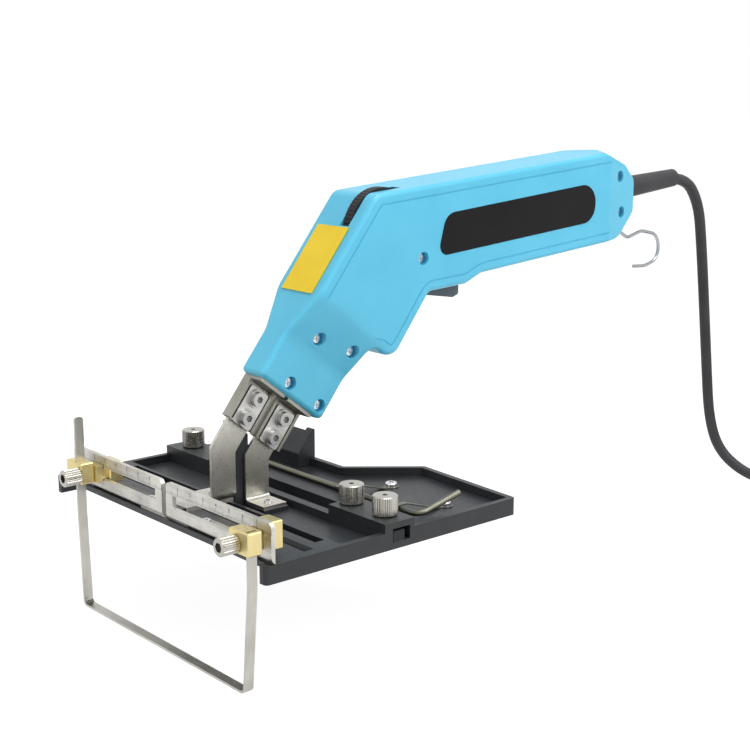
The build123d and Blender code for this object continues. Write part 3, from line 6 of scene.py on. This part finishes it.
import bpy
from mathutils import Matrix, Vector


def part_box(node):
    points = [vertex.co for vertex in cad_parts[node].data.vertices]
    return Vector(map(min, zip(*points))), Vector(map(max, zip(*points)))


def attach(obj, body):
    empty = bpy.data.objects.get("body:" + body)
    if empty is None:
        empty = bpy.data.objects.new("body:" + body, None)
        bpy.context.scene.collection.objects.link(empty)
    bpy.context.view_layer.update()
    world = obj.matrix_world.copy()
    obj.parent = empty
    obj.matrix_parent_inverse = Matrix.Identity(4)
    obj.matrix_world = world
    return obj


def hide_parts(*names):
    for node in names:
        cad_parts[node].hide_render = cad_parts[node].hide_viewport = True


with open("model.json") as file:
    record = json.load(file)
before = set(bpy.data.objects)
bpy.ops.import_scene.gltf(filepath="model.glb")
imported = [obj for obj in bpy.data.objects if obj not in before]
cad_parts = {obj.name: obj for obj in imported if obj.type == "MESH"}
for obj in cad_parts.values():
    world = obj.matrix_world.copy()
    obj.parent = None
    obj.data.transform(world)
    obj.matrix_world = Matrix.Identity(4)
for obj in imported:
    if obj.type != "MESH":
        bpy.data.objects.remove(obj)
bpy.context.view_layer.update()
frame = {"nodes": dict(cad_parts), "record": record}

nodes = frame["nodes"]
scene = bpy.context.scene
scene.view_settings.view_transform = "Standard"

# Places in metres: the middle of the gun, and a floor that clears the blade at its deepest setting
gun_x = 0.01125
floor_height = -0.0545

# Camera at the photograph's angle
camera_place = Vector((0.53505, -0.3976, 0.2093))
camera_heading = math.radians(49.3)
camera_dip = math.radians(12.3)
camera_lens = 67.68
camera_sensor = 36
camera_near = 0.01
camera_far = 20

camera = bpy.data.objects.new("camera", bpy.data.cameras.new("camera"))
scene.collection.objects.link(camera)
camera.location = camera_place
camera.rotation_euler = (math.pi / 2 - camera_dip, 0, camera_heading)
camera.data.lens = camera_lens
camera.data.sensor_width = camera_sensor
camera.data.clip_start = camera_near
camera.data.clip_end = camera_far
scene.camera = camera

# Scale arms, in metres: front of the upright wall, top of the slot, start of each scale, depth of the foot
arm_front = -0.070
arm_front_margin = 0.0002
arm_slot_top = 0.021
arm_starts = {"left_arm": -0.07475, "right_arm": 0.00875}
arm_foot_front = -0.0676
arm_foot_back = -0.0570
# Painted shade on each arm's foot behind its wall, with some heat stain: darker on the left arm, and how
# far it changes at random
arm_foot_shade_and_stain = {"left_arm": 0.85, "right_arm": 0.45}
arm_foot_shade_change = 0.1

# Ticks of the scale, in millimetres: every fifth one is longer, and every tenth one longer still
millimetres_in_metre = 1000.0
tick_spacing = 1.0
tick_half_width = 0.12
tick_foot = 0.25
tick_top = 1.4
fifth_tick_spacing = 5.0
fifth_tick_rise = 0.7
tenth_tick_spacing = 10.0
tenth_tick_rise = 0.6

# Range in which most of a noise texture's values lie
noise_low = 0.3
noise_high = 0.7


# Node helpers
def add_node(tree, kind, **settings):
    """A new shader node. Settings are its own properties."""
    node = tree.nodes.new(kind)
    for name, value in settings.items():
        setattr(node, name, value)
    return node


def feed(tree, socket, source):
    """Sets a socket to a value, or links it to another socket."""
    if isinstance(source, bpy.types.NodeSocket):
        tree.links.new(source, socket)
    else:
        socket.default_value = source


def calculate(tree, operation, first, second):
    """The result of a sum, product, comparison or other operation on two values."""
    node = add_node(tree, "ShaderNodeMath", operation=operation)
    feed(tree, node.inputs[0], first)
    feed(tree, node.inputs[1], second)
    return node.outputs[0]


def spread(tree, source, low, high, start=noise_low, end=noise_high):
    """A value taken from the range start to end into the range low to high."""
    node = add_node(tree, "ShaderNodeMapRange")
    feed(tree, node.inputs["Value"], source)
    node.inputs["From Min"].default_value = start
    node.inputs["From Max"].default_value = end
    node.inputs["To Min"].default_value = low
    node.inputs["To Max"].default_value = high
    return node.outputs["Result"]


def between(tree, share, first, second):
    """A colour between two others."""
    node = add_node(tree, "ShaderNodeMix", data_type="RGBA")
    feed(tree, node.inputs[0], share)
    feed(tree, node.inputs[6], first)
    feed(tree, node.inputs[7], second)
    return node.outputs[2]


def noise(tree, place, scale, detail, roughness=0.5):
    """The value of a noise texture."""
    node = add_node(tree, "ShaderNodeTexNoise")
    node.inputs["Detail"].default_value = detail
    node.inputs["Roughness"].default_value = roughness
    feed(tree, node.inputs["Vector"], place)
    feed(tree, node.inputs["Scale"], scale)
    return node.outputs["Fac"]


def new_group(name, inputs, outputs):
    """An empty node group with inputs of the given kinds and number outputs."""
    group = bpy.data.node_groups.new(name, "ShaderNodeTree")
    for socket_name, kind in inputs.items():
        group.interface.new_socket(socket_name, in_out="INPUT", socket_type=kind)
    for socket_name in outputs:
        group.interface.new_socket(socket_name, in_out="OUTPUT", socket_type="NodeSocketFloat")
    return group, group.nodes.new("NodeGroupInput"), group.nodes.new("NodeGroupOutput")


# Effects that the finishes share
def make_surface_group():
    """Fine grain, broad patches and sparse scuffs."""
    grain_detail = 2.0
    patch_detail = 4.0
    scuff_detail = 5.0
    scuff_roughness = 0.7
    scuff_turn = (0.5, 0.9, 0.4)
    scuff_stretch = (1.0, 0.12, 1.0)
    scuff_start = 0.62
    scuff_end = 0.78
    inputs = {
        "Place": "NodeSocketVector",
        "Grain Scale": "NodeSocketFloat",
        "Patch Scale": "NodeSocketFloat",
        "Scuff Scale": "NodeSocketFloat",
    }
    group, given, made = new_group("surface_marks", inputs, ["Grain", "Patches", "Scuffs"])
    place = given.outputs["Place"]
    grain = noise(group, place, given.outputs["Grain Scale"], grain_detail)
    patches = noise(group, place, given.outputs["Patch Scale"], patch_detail)
    turned = add_node(group, "ShaderNodeMapping")
    turned.inputs["Rotation"].default_value = scuff_turn
    turned.inputs["Scale"].default_value = scuff_stretch
    feed(group, turned.inputs["Vector"], place)
    turned_place = turned.outputs["Vector"]
    scuffs = noise(group, turned_place, given.outputs["Scuff Scale"], scuff_detail, scuff_roughness)
    feed(group, made.inputs["Grain"], grain)
    feed(group, made.inputs["Patches"], spread(group, patches, 0.0, 1.0))
    feed(group, made.inputs["Scuffs"], spread(group, scuffs, 0.0, 1.0, scuff_start, scuff_end))
    return group


def make_brush_group():
    """Lines of a brushed, drawn or ground metal, along one direction."""
    line_detail = 3.0
    line_roughness = 0.6
    inputs = {"Place": "NodeSocketVector", "Along": "NodeSocketVector", "Scale": "NodeSocketFloat"}
    group, given, made = new_group("brush_lines", inputs, ["Lines"])
    stretched = add_node(group, "ShaderNodeMapping")
    feed(group, stretched.inputs["Vector"], given.outputs["Place"])
    feed(group, stretched.inputs["Scale"], given.outputs["Along"])
    place = stretched.outputs["Vector"]
    lines = noise(group, place, given.outputs["Scale"], line_detail, line_roughness)
    feed(group, made.inputs["Lines"], lines)
    return group


def make_arm_group():
    """Masks of a scale arm: ticks above the upper edge of its slot, and the foot behind its wall."""
    inputs = {"Place": "NodeSocketVector", "Start": "NodeSocketFloat"}
    group, given, made = new_group("arm_marks", inputs, ["Ticks", "Foot"])
    parts = add_node(group, "ShaderNodeSeparateXYZ")
    feed(group, parts.inputs[0], given.outputs["Place"])
    depth = parts.outputs["Y"]
    along = calculate(group, "SUBTRACT", parts.outputs["X"], given.outputs["Start"])
    along = calculate(group, "MULTIPLY", along, millimetres_in_metre)
    rise = calculate(group, "SUBTRACT", parts.outputs["Z"], arm_slot_top)
    rise = calculate(group, "MULTIPLY", rise, millimetres_in_metre)

    def near_line(spacing):
        from_line = calculate(group, "PINGPONG", along, spacing / 2)
        return calculate(group, "LESS_THAN", from_line, tick_half_width)

    fifth_rise = calculate(group, "MULTIPLY", near_line(fifth_tick_spacing), fifth_tick_rise)
    tenth_rise = calculate(group, "MULTIPLY", near_line(tenth_tick_spacing), tenth_tick_rise)
    reach = calculate(group, "ADD", fifth_rise, tenth_rise)
    reach = calculate(group, "ADD", reach, tick_top)
    below_top = calculate(group, "LESS_THAN", rise, reach)
    above_foot = calculate(group, "GREATER_THAN", rise, tick_foot)
    on_front = calculate(group, "LESS_THAN", depth, arm_front + arm_front_margin)
    ticks = calculate(group, "MULTIPLY", near_line(tick_spacing), below_top)
    ticks = calculate(group, "MULTIPLY", ticks, above_foot)
    feed(group, made.inputs["Ticks"], calculate(group, "MULTIPLY", ticks, on_front))
    behind_wall = calculate(group, "GREATER_THAN", depth, arm_foot_front)
    before_back = calculate(group, "LESS_THAN", depth, arm_foot_back)
    feed(group, made.inputs["Foot"], calculate(group, "MULTIPLY", behind_wall, before_back))
    return group


surface_group = make_surface_group()
brush_group = make_brush_group()
arm_group = make_arm_group()


# Finishes
class Finish:
    """A material in the making: its tree, its shader and the shared marks over its surface."""

    def __init__(self, name, grain, patches, scuffs):
        self.material = bpy.data.materials.new(name)
        self.material.use_nodes = True
        self.tree = self.material.node_tree
        self.shader = self.tree.nodes["Principled BSDF"]
        self.place = add_node(self.tree, "ShaderNodeTexCoord").outputs["Object"]
        marks = add_node(self.tree, "ShaderNodeGroup", node_tree=surface_group)
        feed(self.tree, marks.inputs["Place"], self.place)
        marks.inputs["Grain Scale"].default_value = grain
        marks.inputs["Patch Scale"].default_value = patches
        marks.inputs["Scuff Scale"].default_value = scuffs
        self.grain = marks.outputs["Grain"]
        self.patches = marks.outputs["Patches"]
        self.scuffs = marks.outputs["Scuffs"]

    def brush(self, along, scale):
        """Brushed lines, stretched along one direction."""
        lines = add_node(self.tree, "ShaderNodeGroup", node_tree=brush_group)
        feed(self.tree, lines.inputs["Place"], self.place)
        lines.inputs["Along"].default_value = along
        lines.inputs["Scale"].default_value = scale
        return lines.outputs["Lines"]

    def set(self, **sockets):
        """Sets or links sockets of the shader. A socket's name has _ in place of its spaces."""
        for name, value in sockets.items():
            feed(self.tree, self.shader.inputs[name.replace("_", " ")], value)

    def bump(self, height, depth):
        """A relief whose depth is in metres."""
        node = add_node(self.tree, "ShaderNodeBump")
        node.inputs["Strength"].default_value = 1.0
        node.inputs["Distance"].default_value = depth
        feed(self.tree, node.inputs["Height"], height)
        feed(self.tree, self.shader.inputs["Normal"], node.outputs["Normal"])


def colour(red, green, blue):
    """A colour as it is seen on a screen, 0 to 255, as the shader needs it."""

    def linear(value):
        value = value / 255
        return value / 12.92 if value <= 0.04045 else ((value + 0.055) / 1.055) ** 2.4

    return (linear(red), linear(green), linear(blue), 1.0)


# Scales of the marks on plastics and metals, in features per metre, and how far the marks change a finish
plastic_marks = {"patches": 45.0, "scuffs": 160.0}
metal_marks = {"grain": 2600.0, "patches": 60.0, "scuffs": 260.0}
sheet_marks = {"grain": 1300.0, "patches": 38.0, "scuffs": 240.0}
smoother = 0.06
rougher = 0.08
plastic_scuff_share = 0.35
metal_scuff_roughness = 0.12
metal_line_share = 0.6
metal_patch_share = 0.4
metal_line_scale = 900.0
metal_depth = 0.00001

# Stretch of the brushed lines: they run along the axis with the small number
plate_lines = (1, 1, 0.12)
strip_lines = (1, 1, 0.1)
milled_lines = (1, 1, 0.2)
rod_lines = (0.1, 1, 1)
arm_lines = (0.12, 1, 1)
stacked_lines = (1, 0.05, 0.05)
even_marks = (1, 1, 1)


def moulded(name, pale, deep, rough, grain=2200.0, depth=0.00002, scuff_colour=None, shine=0.5):
    """Moulded plastic: fine grain, a soft change of tone and light scuffs."""
    made = Finish(name, grain, **plastic_marks)
    tone = between(made.tree, made.patches, deep, pale)
    worn = calculate(made.tree, "MULTIPLY", made.scuffs, plastic_scuff_share)
    tone = between(made.tree, worn, tone, scuff_colour or pale)
    made.set(Base_Color=tone, Specular_IOR_Level=shine)
    made.set(Roughness=spread(made.tree, made.grain, rough - smoother, rough + rougher))
    made.bump(made.grain, depth)
    return made.material


def metal(name, pale, deep, rough, along=even_marks, line_scale=metal_line_scale):
    """Plated, milled or drawn metal: lines along one way, a change of tone and light scuffs."""
    made = Finish(name, **metal_marks)
    lines = made.brush(along, line_scale)
    line_tone = calculate(made.tree, "MULTIPLY", lines, metal_line_share)
    patch_tone = calculate(made.tree, "MULTIPLY", made.patches, metal_patch_share)
    mixed = calculate(made.tree, "ADD", line_tone, patch_tone)
    made.set(Base_Color=between(made.tree, mixed, deep, pale), Metallic=1.0)
    worn = calculate(made.tree, "MULTIPLY", made.scuffs, metal_scuff_roughness)
    line_roughness = spread(made.tree, lines, rough - smoother, rough + rougher)
    made.set(Roughness=calculate(made.tree, "ADD", line_roughness, worn))
    made.bump(lines, metal_depth)
    return made.material


def scale_arm_finish(name, start, foot_shade_and_stain):
    """Satin nickel of a scale arm, with inked ticks on its front and a foot darkened by painted shade, with
    some heat stain.
    """
    satin_smooth = 0.4
    satin_rough = 0.52
    ink_share = 0.85
    ink_roughness = 0.3
    made = Finish(name, **metal_marks)
    lines = made.brush(arm_lines, metal_line_scale)
    dulled = calculate(made.tree, "MULTIPLY", made.patches, lines)
    tone = between(made.tree, dulled, colour(214, 212, 206), colour(132, 130, 124))
    marks = add_node(made.tree, "ShaderNodeGroup", node_tree=arm_group)
    feed(made.tree, marks.inputs["Place"], made.place)
    marks.inputs["Start"].default_value = start
    # Painted shade on the foot seen through the slot, with some heat stain, mixed toward a dark olive grey
    least_foot_shade = foot_shade_and_stain - arm_foot_shade_change
    most_foot_shade = foot_shade_and_stain + arm_foot_shade_change
    foot_shade = spread(made.tree, made.patches, least_foot_shade, most_foot_shade, 0.0, 1.0)
    shaded_foot = calculate(made.tree, "MULTIPLY", marks.outputs["Foot"], foot_shade)
    tone = between(made.tree, shaded_foot, tone, colour(58, 56, 48))
    inked = calculate(made.tree, "MULTIPLY", marks.outputs["Ticks"], ink_share)
    made.set(Base_Color=between(made.tree, inked, tone, colour(60, 60, 62)), Metallic=1.0)
    rough = spread(made.tree, lines, satin_smooth, satin_rough)
    ink_rough = calculate(made.tree, "MULTIPLY", inked, ink_roughness)
    made.set(Roughness=calculate(made.tree, "ADD", rough, ink_rough))
    made.bump(lines, metal_depth)
    return made.material


def speckled_nickel(name, pale, deep, rough):
    """Dull nickel of the sheet metal terminals, with fine dark specks."""
    speck_share = 0.3
    speck_start = 0.52
    speck_end = 0.72
    speck_smoother = 0.05
    speck_rougher = 0.1
    speck_depth = 0.000004
    made = Finish(name, **sheet_marks)
    specks = spread(made.tree, made.grain, 0.0, speck_share, speck_start, speck_end)
    tone = between(made.tree, made.patches, deep, pale)
    made.set(Base_Color=between(made.tree, specks, tone, colour(126, 124, 117)), Metallic=1.0)
    made.set(Roughness=spread(made.tree, made.grain, rough - speck_smoother, rough + speck_rougher))
    made.bump(made.grain, speck_depth)
    return made.material


# One finish for each material slot of the record
finishes = {
    "housing": moulded("light_blue_housing", colour(98, 202, 235), colour(90, 195, 229), 0.36),
    "base": moulded(
        "charcoal_base", colour(46, 48, 51), colour(36, 38, 41), 0.4,
        grain=1500.0, depth=0.00004, scuff_colour=colour(110, 110, 112), shine=0.4,
    ),
    "steel": metal("nickel_plate", colour(198, 197, 192), colour(166, 165, 160), 0.28, plate_lines),
    "blade_steel": metal("blade_strip", colour(212, 210, 203), colour(152, 150, 143), 0.34, strip_lines),
    "knob_steel": metal("knob_plate", colour(204, 201, 194), colour(160, 157, 150), 0.28),
    "rod_steel": metal("dull_rod", colour(134, 133, 120), colour(100, 99, 88), 0.36, rod_lines),
    "brass": metal("milled_brass", colour(234, 218, 164), colour(206, 188, 130), 0.36, milled_lines),
    "copper": metal("drawn_copper", colour(220, 150, 112), colour(176, 104, 70), 0.34, strip_lines),
    "aluminium": metal("tumbled_aluminium", colour(222, 221, 218), colour(186, 185, 182), 0.38),
    "plate_black": moulded(
        "black_side_plate", colour(16, 15, 18), colour(11, 10, 13), 0.22, depth=0.000004, shine=0.17,
    ),
    "panel_yellow": moulded(
        "yellow_front_panel", colour(250, 217, 54), colour(243, 208, 42), 0.34, depth=0.000006, shine=0.3,
    ),
    "dark_plastic": moulded(
        "black_moulding", colour(46, 47, 50), colour(34, 35, 38), 0.46, depth=0.00003, shine=0.22,
    ),
    "cord_rubber": moulded(
        "cord_sheath", colour(58, 58, 61), colour(44, 44, 47), 0.5, depth=0.00003, shine=0.35,
    ),
    "tie_fabric": moulded("tie_weave", colour(44, 44, 46), colour(28, 28, 30), 0.8, depth=0.00006),
    "hook_wire": metal("plated_wire", colour(186, 190, 194), colour(144, 148, 152), 0.24),
    "board_green": moulded("board_lacquer", colour(50, 120, 74), colour(36, 96, 58), 0.4),
    "core_iron": metal(
        "stacked_sheet", colour(120, 120, 126), colour(78, 78, 84), 0.5, stacked_lines, line_scale=2400.0,
    ),
    "enamel_wire": metal(
        "enamelled_wire", colour(186, 108, 62), colour(140, 70, 34), 0.35, rod_lines, line_scale=1500.0,
    ),
    "pale_plastic": moulded("pale_moulding", colour(216, 210, 196), colour(200, 192, 176), 0.5),
}

# Finishes of pieces that differ from the rest of their slot
strip_finish = speckled_nickel("strip_nickel", colour(214, 212, 203), colour(178, 176, 168), 0.32)
bracket_finish = speckled_nickel("bracket_nickel", colour(172, 171, 161), colour(142, 141, 132), 0.34)
screw_finish = metal("bright_screw_plate", colour(232, 232, 233), colour(204, 204, 206), 0.22)
socket_finish = metal("socket_screw_plate", colour(196, 196, 194), colour(160, 160, 158), 0.3)
trigger_finish = moulded("slate_trigger", colour(88, 98, 106), colour(74, 84, 92), 0.44, depth=0.00003)
ink_finish = moulded("scale_ink", colour(66, 66, 68), colour(52, 52, 54), 0.6, depth=0.000004)


def dress(piece, finish):
    """Gives a piece its one material."""
    piece.data.materials.clear()
    piece.data.materials.append(finish)


slot_of = {row["node"]: row["material_slot"] for row in frame["record"]["subparts"]}
for name, node in nodes.items():
    dress(node, finishes[slot_of[name]])
for name, start in arm_starts.items():
    dress(nodes[name], scale_arm_finish(name + "_finish", start, arm_foot_shade_and_stain[name]))
for end in ("front", "rear"):
    dress(nodes[end + "_strip"], strip_finish)
    dress(nodes[end + "_bracket"], bracket_finish)
for name in ("neck_screws", "body_screws", "foot_screws", "arm_screws", "spring_screws"):
    dress(nodes[name], screw_finish)
dress(nodes["terminal_screws"], socket_finish)
dress(nodes["trigger"], trigger_finish)


# Power cord on one smooth line: its free stretch and the coil that is put away
cord_radius = 0.0033
relief_start = Vector((gun_x, 0.2375, 0.1417))
relief_slope = math.radians(4.5)
relief_way = Vector((0, math.cos(relief_slope), math.sin(relief_slope)))
relief_length = 0.048
cord_inside_relief = 0.009
cord_past_relief = 0.0115
coil_middle = Vector((0.0733, 0.4038, -0.04405))
coil_heading = math.radians(49.3)
coil_near = Vector((math.sin(coil_heading), -math.cos(coil_heading), 0))
coil_right = Vector((math.cos(coil_heading), math.sin(coil_heading), 0))
coil_up = Vector((0, 0, 1))
coil_outer = 0.050
coil_pitch = 0.0084
coil_lead_in = 0.024
coil_lead_out = 0.003
half_turns_in = 7
half_turns_out = 8
points_in_half_turn = 8
cord_steps = 6
cord_round_steps = 5


def from_middle(middle, near, right, up):
    """A place by its distances from a middle, along the coil's own directions."""
    return middle + coil_near * near + coil_right * right + coil_up * up


def coil_line():
    """Points of the coil: in to the middle on the lower layer, then out again on the upper one."""
    points = []
    reach = coil_outer
    side = 1
    for turn in range(half_turns_in + 1 + half_turns_out):
        start = side * reach
        if turn < half_turns_in:
            reach -= coil_pitch / 2
        elif turn > half_turns_in:
            reach += coil_pitch / 2
        side = -side
        end = side * reach
        middle = (start + end) / 2
        step = math.pi / points_in_half_turn
        radius = abs(end - start) / 2 / math.cos(step / 2)
        for place in range(points_in_half_turn):
            angle = turn * math.pi + (place + 0.5) * step
            share = (place + 0.5) / points_in_half_turn
            if turn < half_turns_in:
                height = 0.0
            elif turn == half_turns_in:
                height = coil_pitch * share
            else:
                height = coil_pitch
            near = middle + radius * math.cos(angle)
            points.append(from_middle(coil_middle, near, radius * math.sin(angle), height))
    return points, side * reach


coil_points, coil_end = coil_line()
cord_points = [
    relief_start + relief_way * (relief_length - cord_inside_relief),
    relief_start + relief_way * (relief_length + cord_past_relief),
    Vector((gun_x, 0.3124, 0.1293)),
    Vector((gun_x, 0.3174, 0.1035)),
    Vector((gun_x, 0.3230, 0.0665)),
    Vector((gun_x, 0.3290, 0.0250)),
    Vector((0.0125, 0.3324, -0.0080)),
    Vector((0.0175, 0.3370, -0.0290)),
    Vector((0.0310, 0.3430, -0.0415)),
    Vector((0.0510, 0.3430, coil_middle.z)),
    from_middle(coil_middle, coil_outer, -2 * cord_radius - coil_lead_in, 0),
    from_middle(coil_middle, coil_outer, -2 * cord_radius, 0),
    *coil_points,
    from_middle(coil_middle, coil_end, 0, coil_pitch),
    from_middle(coil_middle, coil_end, 2 * cord_radius + coil_lead_out, coil_pitch),
]

# Woven tie round the coil, in place of its plain solid
tie_low, tie_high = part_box("cord_tie")
tie_middle = (Vector(tie_low) + Vector(tie_high)) / 2
tie_width = 0.010
tie_thickness = 0.0012
tie_height = tie_high[2] - tie_low[2]
tie_span = (tie_high[0] - tie_low[0] - tie_width * coil_right.x) / coil_near.x
tie_roundness = 7
tie_loop_points = 96
tie_edge_share = 0.25
tie_edge_steps = 2
tie_smooth_angle = math.radians(40)

# Loose end of the tie: it starts and ends at shares of the span, and its tip lifts off
tie_flap_start = -0.36
tie_flap_end = 0.30
tie_flap_lift = 0.0009
tie_flap_curl = 3
tie_flap_steps_along = 24
tie_flap_steps_across = 4


def thicken(piece, thickness, offset):
    """Gives a strap its thickness and soft edges."""
    bpy.ops.object.select_all(action="DESELECT")
    piece.select_set(True)
    bpy.context.view_layer.objects.active = piece
    wall = piece.modifiers.new("wall", "SOLIDIFY")
    wall.thickness = thickness
    wall.offset = offset
    edges = piece.modifiers.new("edges", "BEVEL")
    edges.width = thickness * tie_edge_share
    edges.segments = tie_edge_steps
    edges.limit_method = "ANGLE"
    bpy.ops.object.modifier_apply(modifier="wall")
    bpy.ops.object.modifier_apply(modifier="edges")
    bpy.ops.object.shade_smooth_by_angle(angle=tie_smooth_angle)


def make_tie_loop():
    """Closed loop of webbing with rounded corners."""
    bpy.ops.object.select_all(action="DESELECT")
    bpy.ops.mesh.primitive_cylinder_add(
        vertices=tie_loop_points, radius=1, depth=tie_width, end_fill_type="NOTHING",
    )
    loop = bpy.context.object
    for vertex in loop.data.vertices:
        angle = math.atan2(vertex.co.y, vertex.co.x)
        wide = abs(math.cos(angle)) / (tie_span / 2)
        tall = abs(math.sin(angle)) / (tie_height / 2)
        reach = (wide ** tie_roundness + tall ** tie_roundness) ** (-1 / tie_roundness)
        near = math.cos(angle) * reach
        up = math.sin(angle) * reach
        vertex.co = from_middle(tie_middle, near, -vertex.co.z, up)
    thicken(loop, tie_thickness, -1)
    return loop


def make_tie_flap():
    """Loose end of the webbing, laid over the top of the loop."""
    bpy.ops.object.select_all(action="DESELECT")
    bpy.ops.mesh.primitive_grid_add(
        x_subdivisions=tie_flap_steps_along, y_subdivisions=tie_flap_steps_across, size=1,
    )
    flap = bpy.context.object
    for vertex in flap.data.vertices:
        share = vertex.co.x + 0.5
        near = tie_span * (tie_flap_start + (tie_flap_end - tie_flap_start) * share)
        up = tie_height / 2 + tie_flap_lift * share ** tie_flap_curl
        vertex.co = from_middle(tie_middle, near, -vertex.co.y * tie_width, up)
    thicken(flap, tie_thickness, 1)
    return flap


def make_tie():
    """The loop and its loose end as one strap."""
    loop = make_tie_loop()
    flap = make_tie_flap()
    loop.select_set(True)
    flap.select_set(True)
    bpy.context.view_layer.objects.active = loop
    bpy.ops.object.join()
    bpy.ops.object.mode_set(mode="EDIT")
    bpy.ops.mesh.select_all(action="SELECT")
    bpy.ops.mesh.normals_make_consistent(inside=False)
    bpy.ops.object.mode_set(mode="OBJECT")
    loop.name = "cord_tie_strap"
    dress(loop, finishes["tie_fabric"])
    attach(loop, "frame")
    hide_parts("cord_tie")
    return loop


tie_strap = make_tie()

cord_curve = bpy.data.curves.new("power_lead", "CURVE")
cord_curve.dimensions = "3D"
cord_spline = cord_curve.splines.new("NURBS")
cord_spline.points.add(len(cord_points) - 1)
for point, place in zip(cord_spline.points, cord_points):
    point.co = (*place, 1)
cord_spline.order_u = 3
cord_spline.use_endpoint_u = True
cord_spline.resolution_u = cord_steps
cord_curve.bevel_depth = cord_radius
cord_curve.bevel_resolution = cord_round_steps
cord_curve.use_fill_caps = True
power_lead = bpy.data.objects.new("power_lead", cord_curve)
scene.collection.objects.link(power_lead)
dress(power_lead, finishes["cord_rubber"])
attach(power_lead, "frame")
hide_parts("power_cord", "cord_coil")


# Plain numbers of the scale, one at every centimetre
number_size = 0.0025
number_rise = 0.0030
number_foot = arm_slot_top + number_rise
number_thickness = 0.00002
number_spacing = 0.01
number_count = 7
number_steps = 3


def scale_numbers(name, start):
    """Numbers above the ticks of one arm, a hair proud of its front."""
    digits = []
    for number in range(1, number_count + 1):
        place = (start + number * number_spacing, arm_front - number_thickness, number_foot)
        bpy.ops.object.select_all(action="DESELECT")
        bpy.ops.object.text_add(location=place, rotation=(math.pi / 2, 0, 0))
        digit = bpy.context.object
        digit.data.body = str(number)
        digit.data.size = number_size
        digit.data.extrude = number_thickness
        digit.data.align_x = "CENTER"
        digit.data.resolution_u = number_steps
        digits.append(digit)
    bpy.ops.object.select_all(action="DESELECT")
    for digit in digits:
        digit.select_set(True)
    bpy.context.view_layer.objects.active = digits[0]
    bpy.ops.object.convert(target="MESH")
    bpy.ops.object.join()
    bpy.ops.object.transform_apply(location=True, rotation=True, scale=True)
    row = bpy.context.object
    row.name = name
    dress(row, ink_finish)
    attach(row, "frame")


for arm_name, arm_start in arm_starts.items():
    scale_numbers(arm_name + "_numbers", arm_start)


# Lamps: places and widths in metres, power in watts
lamp_target = Vector((0.0, 0.08, 0.05))


def soft_lamp(name, place, width, power):
    """A round lamp that faces the middle of the object."""
    lamp = bpy.data.lights.new(name, "AREA")
    lamp.shape = "DISK"
    lamp.size = width
    lamp.energy = power
    made = bpy.data.objects.new(name, lamp)
    scene.collection.objects.link(made)
    made.location = place
    made.rotation_euler = (lamp_target - Vector(place)).to_track_quat("-Z", "Y").to_euler()


soft_lamp("overhead_lamp", place=(0.3, 0.2, 1.6), width=1.2, power=14)
soft_lamp("right_lamp", place=(0.95, 0.35, 0.8), width=0.7, power=5.6)
soft_lamp("front_lamp", place=(0.2, -1.5, 0.7), width=0.9, power=4.5)

# Pale floor that keeps a shadow, and a background that is seen as white
white = (1, 1, 1, 1)
floor_tone = (0.86, 0.86, 0.86, 1)
floor_roughness = 0.9
floor_glow_strength = 1.31
floor_glow_share = 0.7
floor_width = 12
sky_strength = 0.34
backdrop_strength = 1.0


def seen_directly(tree):
    """1 for the rays that show a surface to the camera, straight, in a reflection or through glass."""
    rays = add_node(tree, "ShaderNodeLightPath")
    seen = calculate(tree, "MAXIMUM", rays.outputs["Is Camera Ray"], rays.outputs["Is Glossy Ray"])
    return calculate(tree, "MAXIMUM", seen, rays.outputs["Is Transmission Ray"])


def mix_to_output(tree, share, first, second, output):
    """Mixes two shaders by a share and sends them to the output node."""
    mix = add_node(tree, "ShaderNodeMixShader")
    feed(tree, mix.inputs[0], share)
    feed(tree, mix.inputs[1], first.outputs[0])
    feed(tree, mix.inputs[2], second.outputs[0])
    feed(tree, tree.nodes[output].inputs["Surface"], mix.outputs[0])


floor_material = bpy.data.materials.new("pale_floor")
floor_material.use_nodes = True
floor_tree = floor_material.node_tree
floor_shader = floor_tree.nodes["Principled BSDF"]
floor_shader.inputs["Base Color"].default_value = floor_tone
floor_shader.inputs["Roughness"].default_value = floor_roughness
floor_glow = add_node(floor_tree, "ShaderNodeEmission")
floor_glow.inputs["Strength"].default_value = floor_glow_strength
floor_share = calculate(floor_tree, "MULTIPLY", seen_directly(floor_tree), floor_glow_share)
mix_to_output(floor_tree, floor_share, floor_shader, floor_glow, "Material Output")
bpy.ops.mesh.primitive_plane_add(size=floor_width, location=(0, 0, floor_height))
floor = bpy.context.object
floor.name = "floor"
dress(floor, floor_material)

world = bpy.data.worlds.new("studio")
scene.world = world
world.use_nodes = True
world_tree = world.node_tree
sky = world_tree.nodes["Background"]
sky.inputs["Color"].default_value = white
sky.inputs["Strength"].default_value = sky_strength
backdrop = add_node(world_tree, "ShaderNodeBackground")
backdrop.inputs["Color"].default_value = white
backdrop.inputs["Strength"].default_value = backdrop_strength
mix_to_output(world_tree, seen_directly(world_tree), sky, backdrop, "World Output")

bpy.context.view_layer.update()
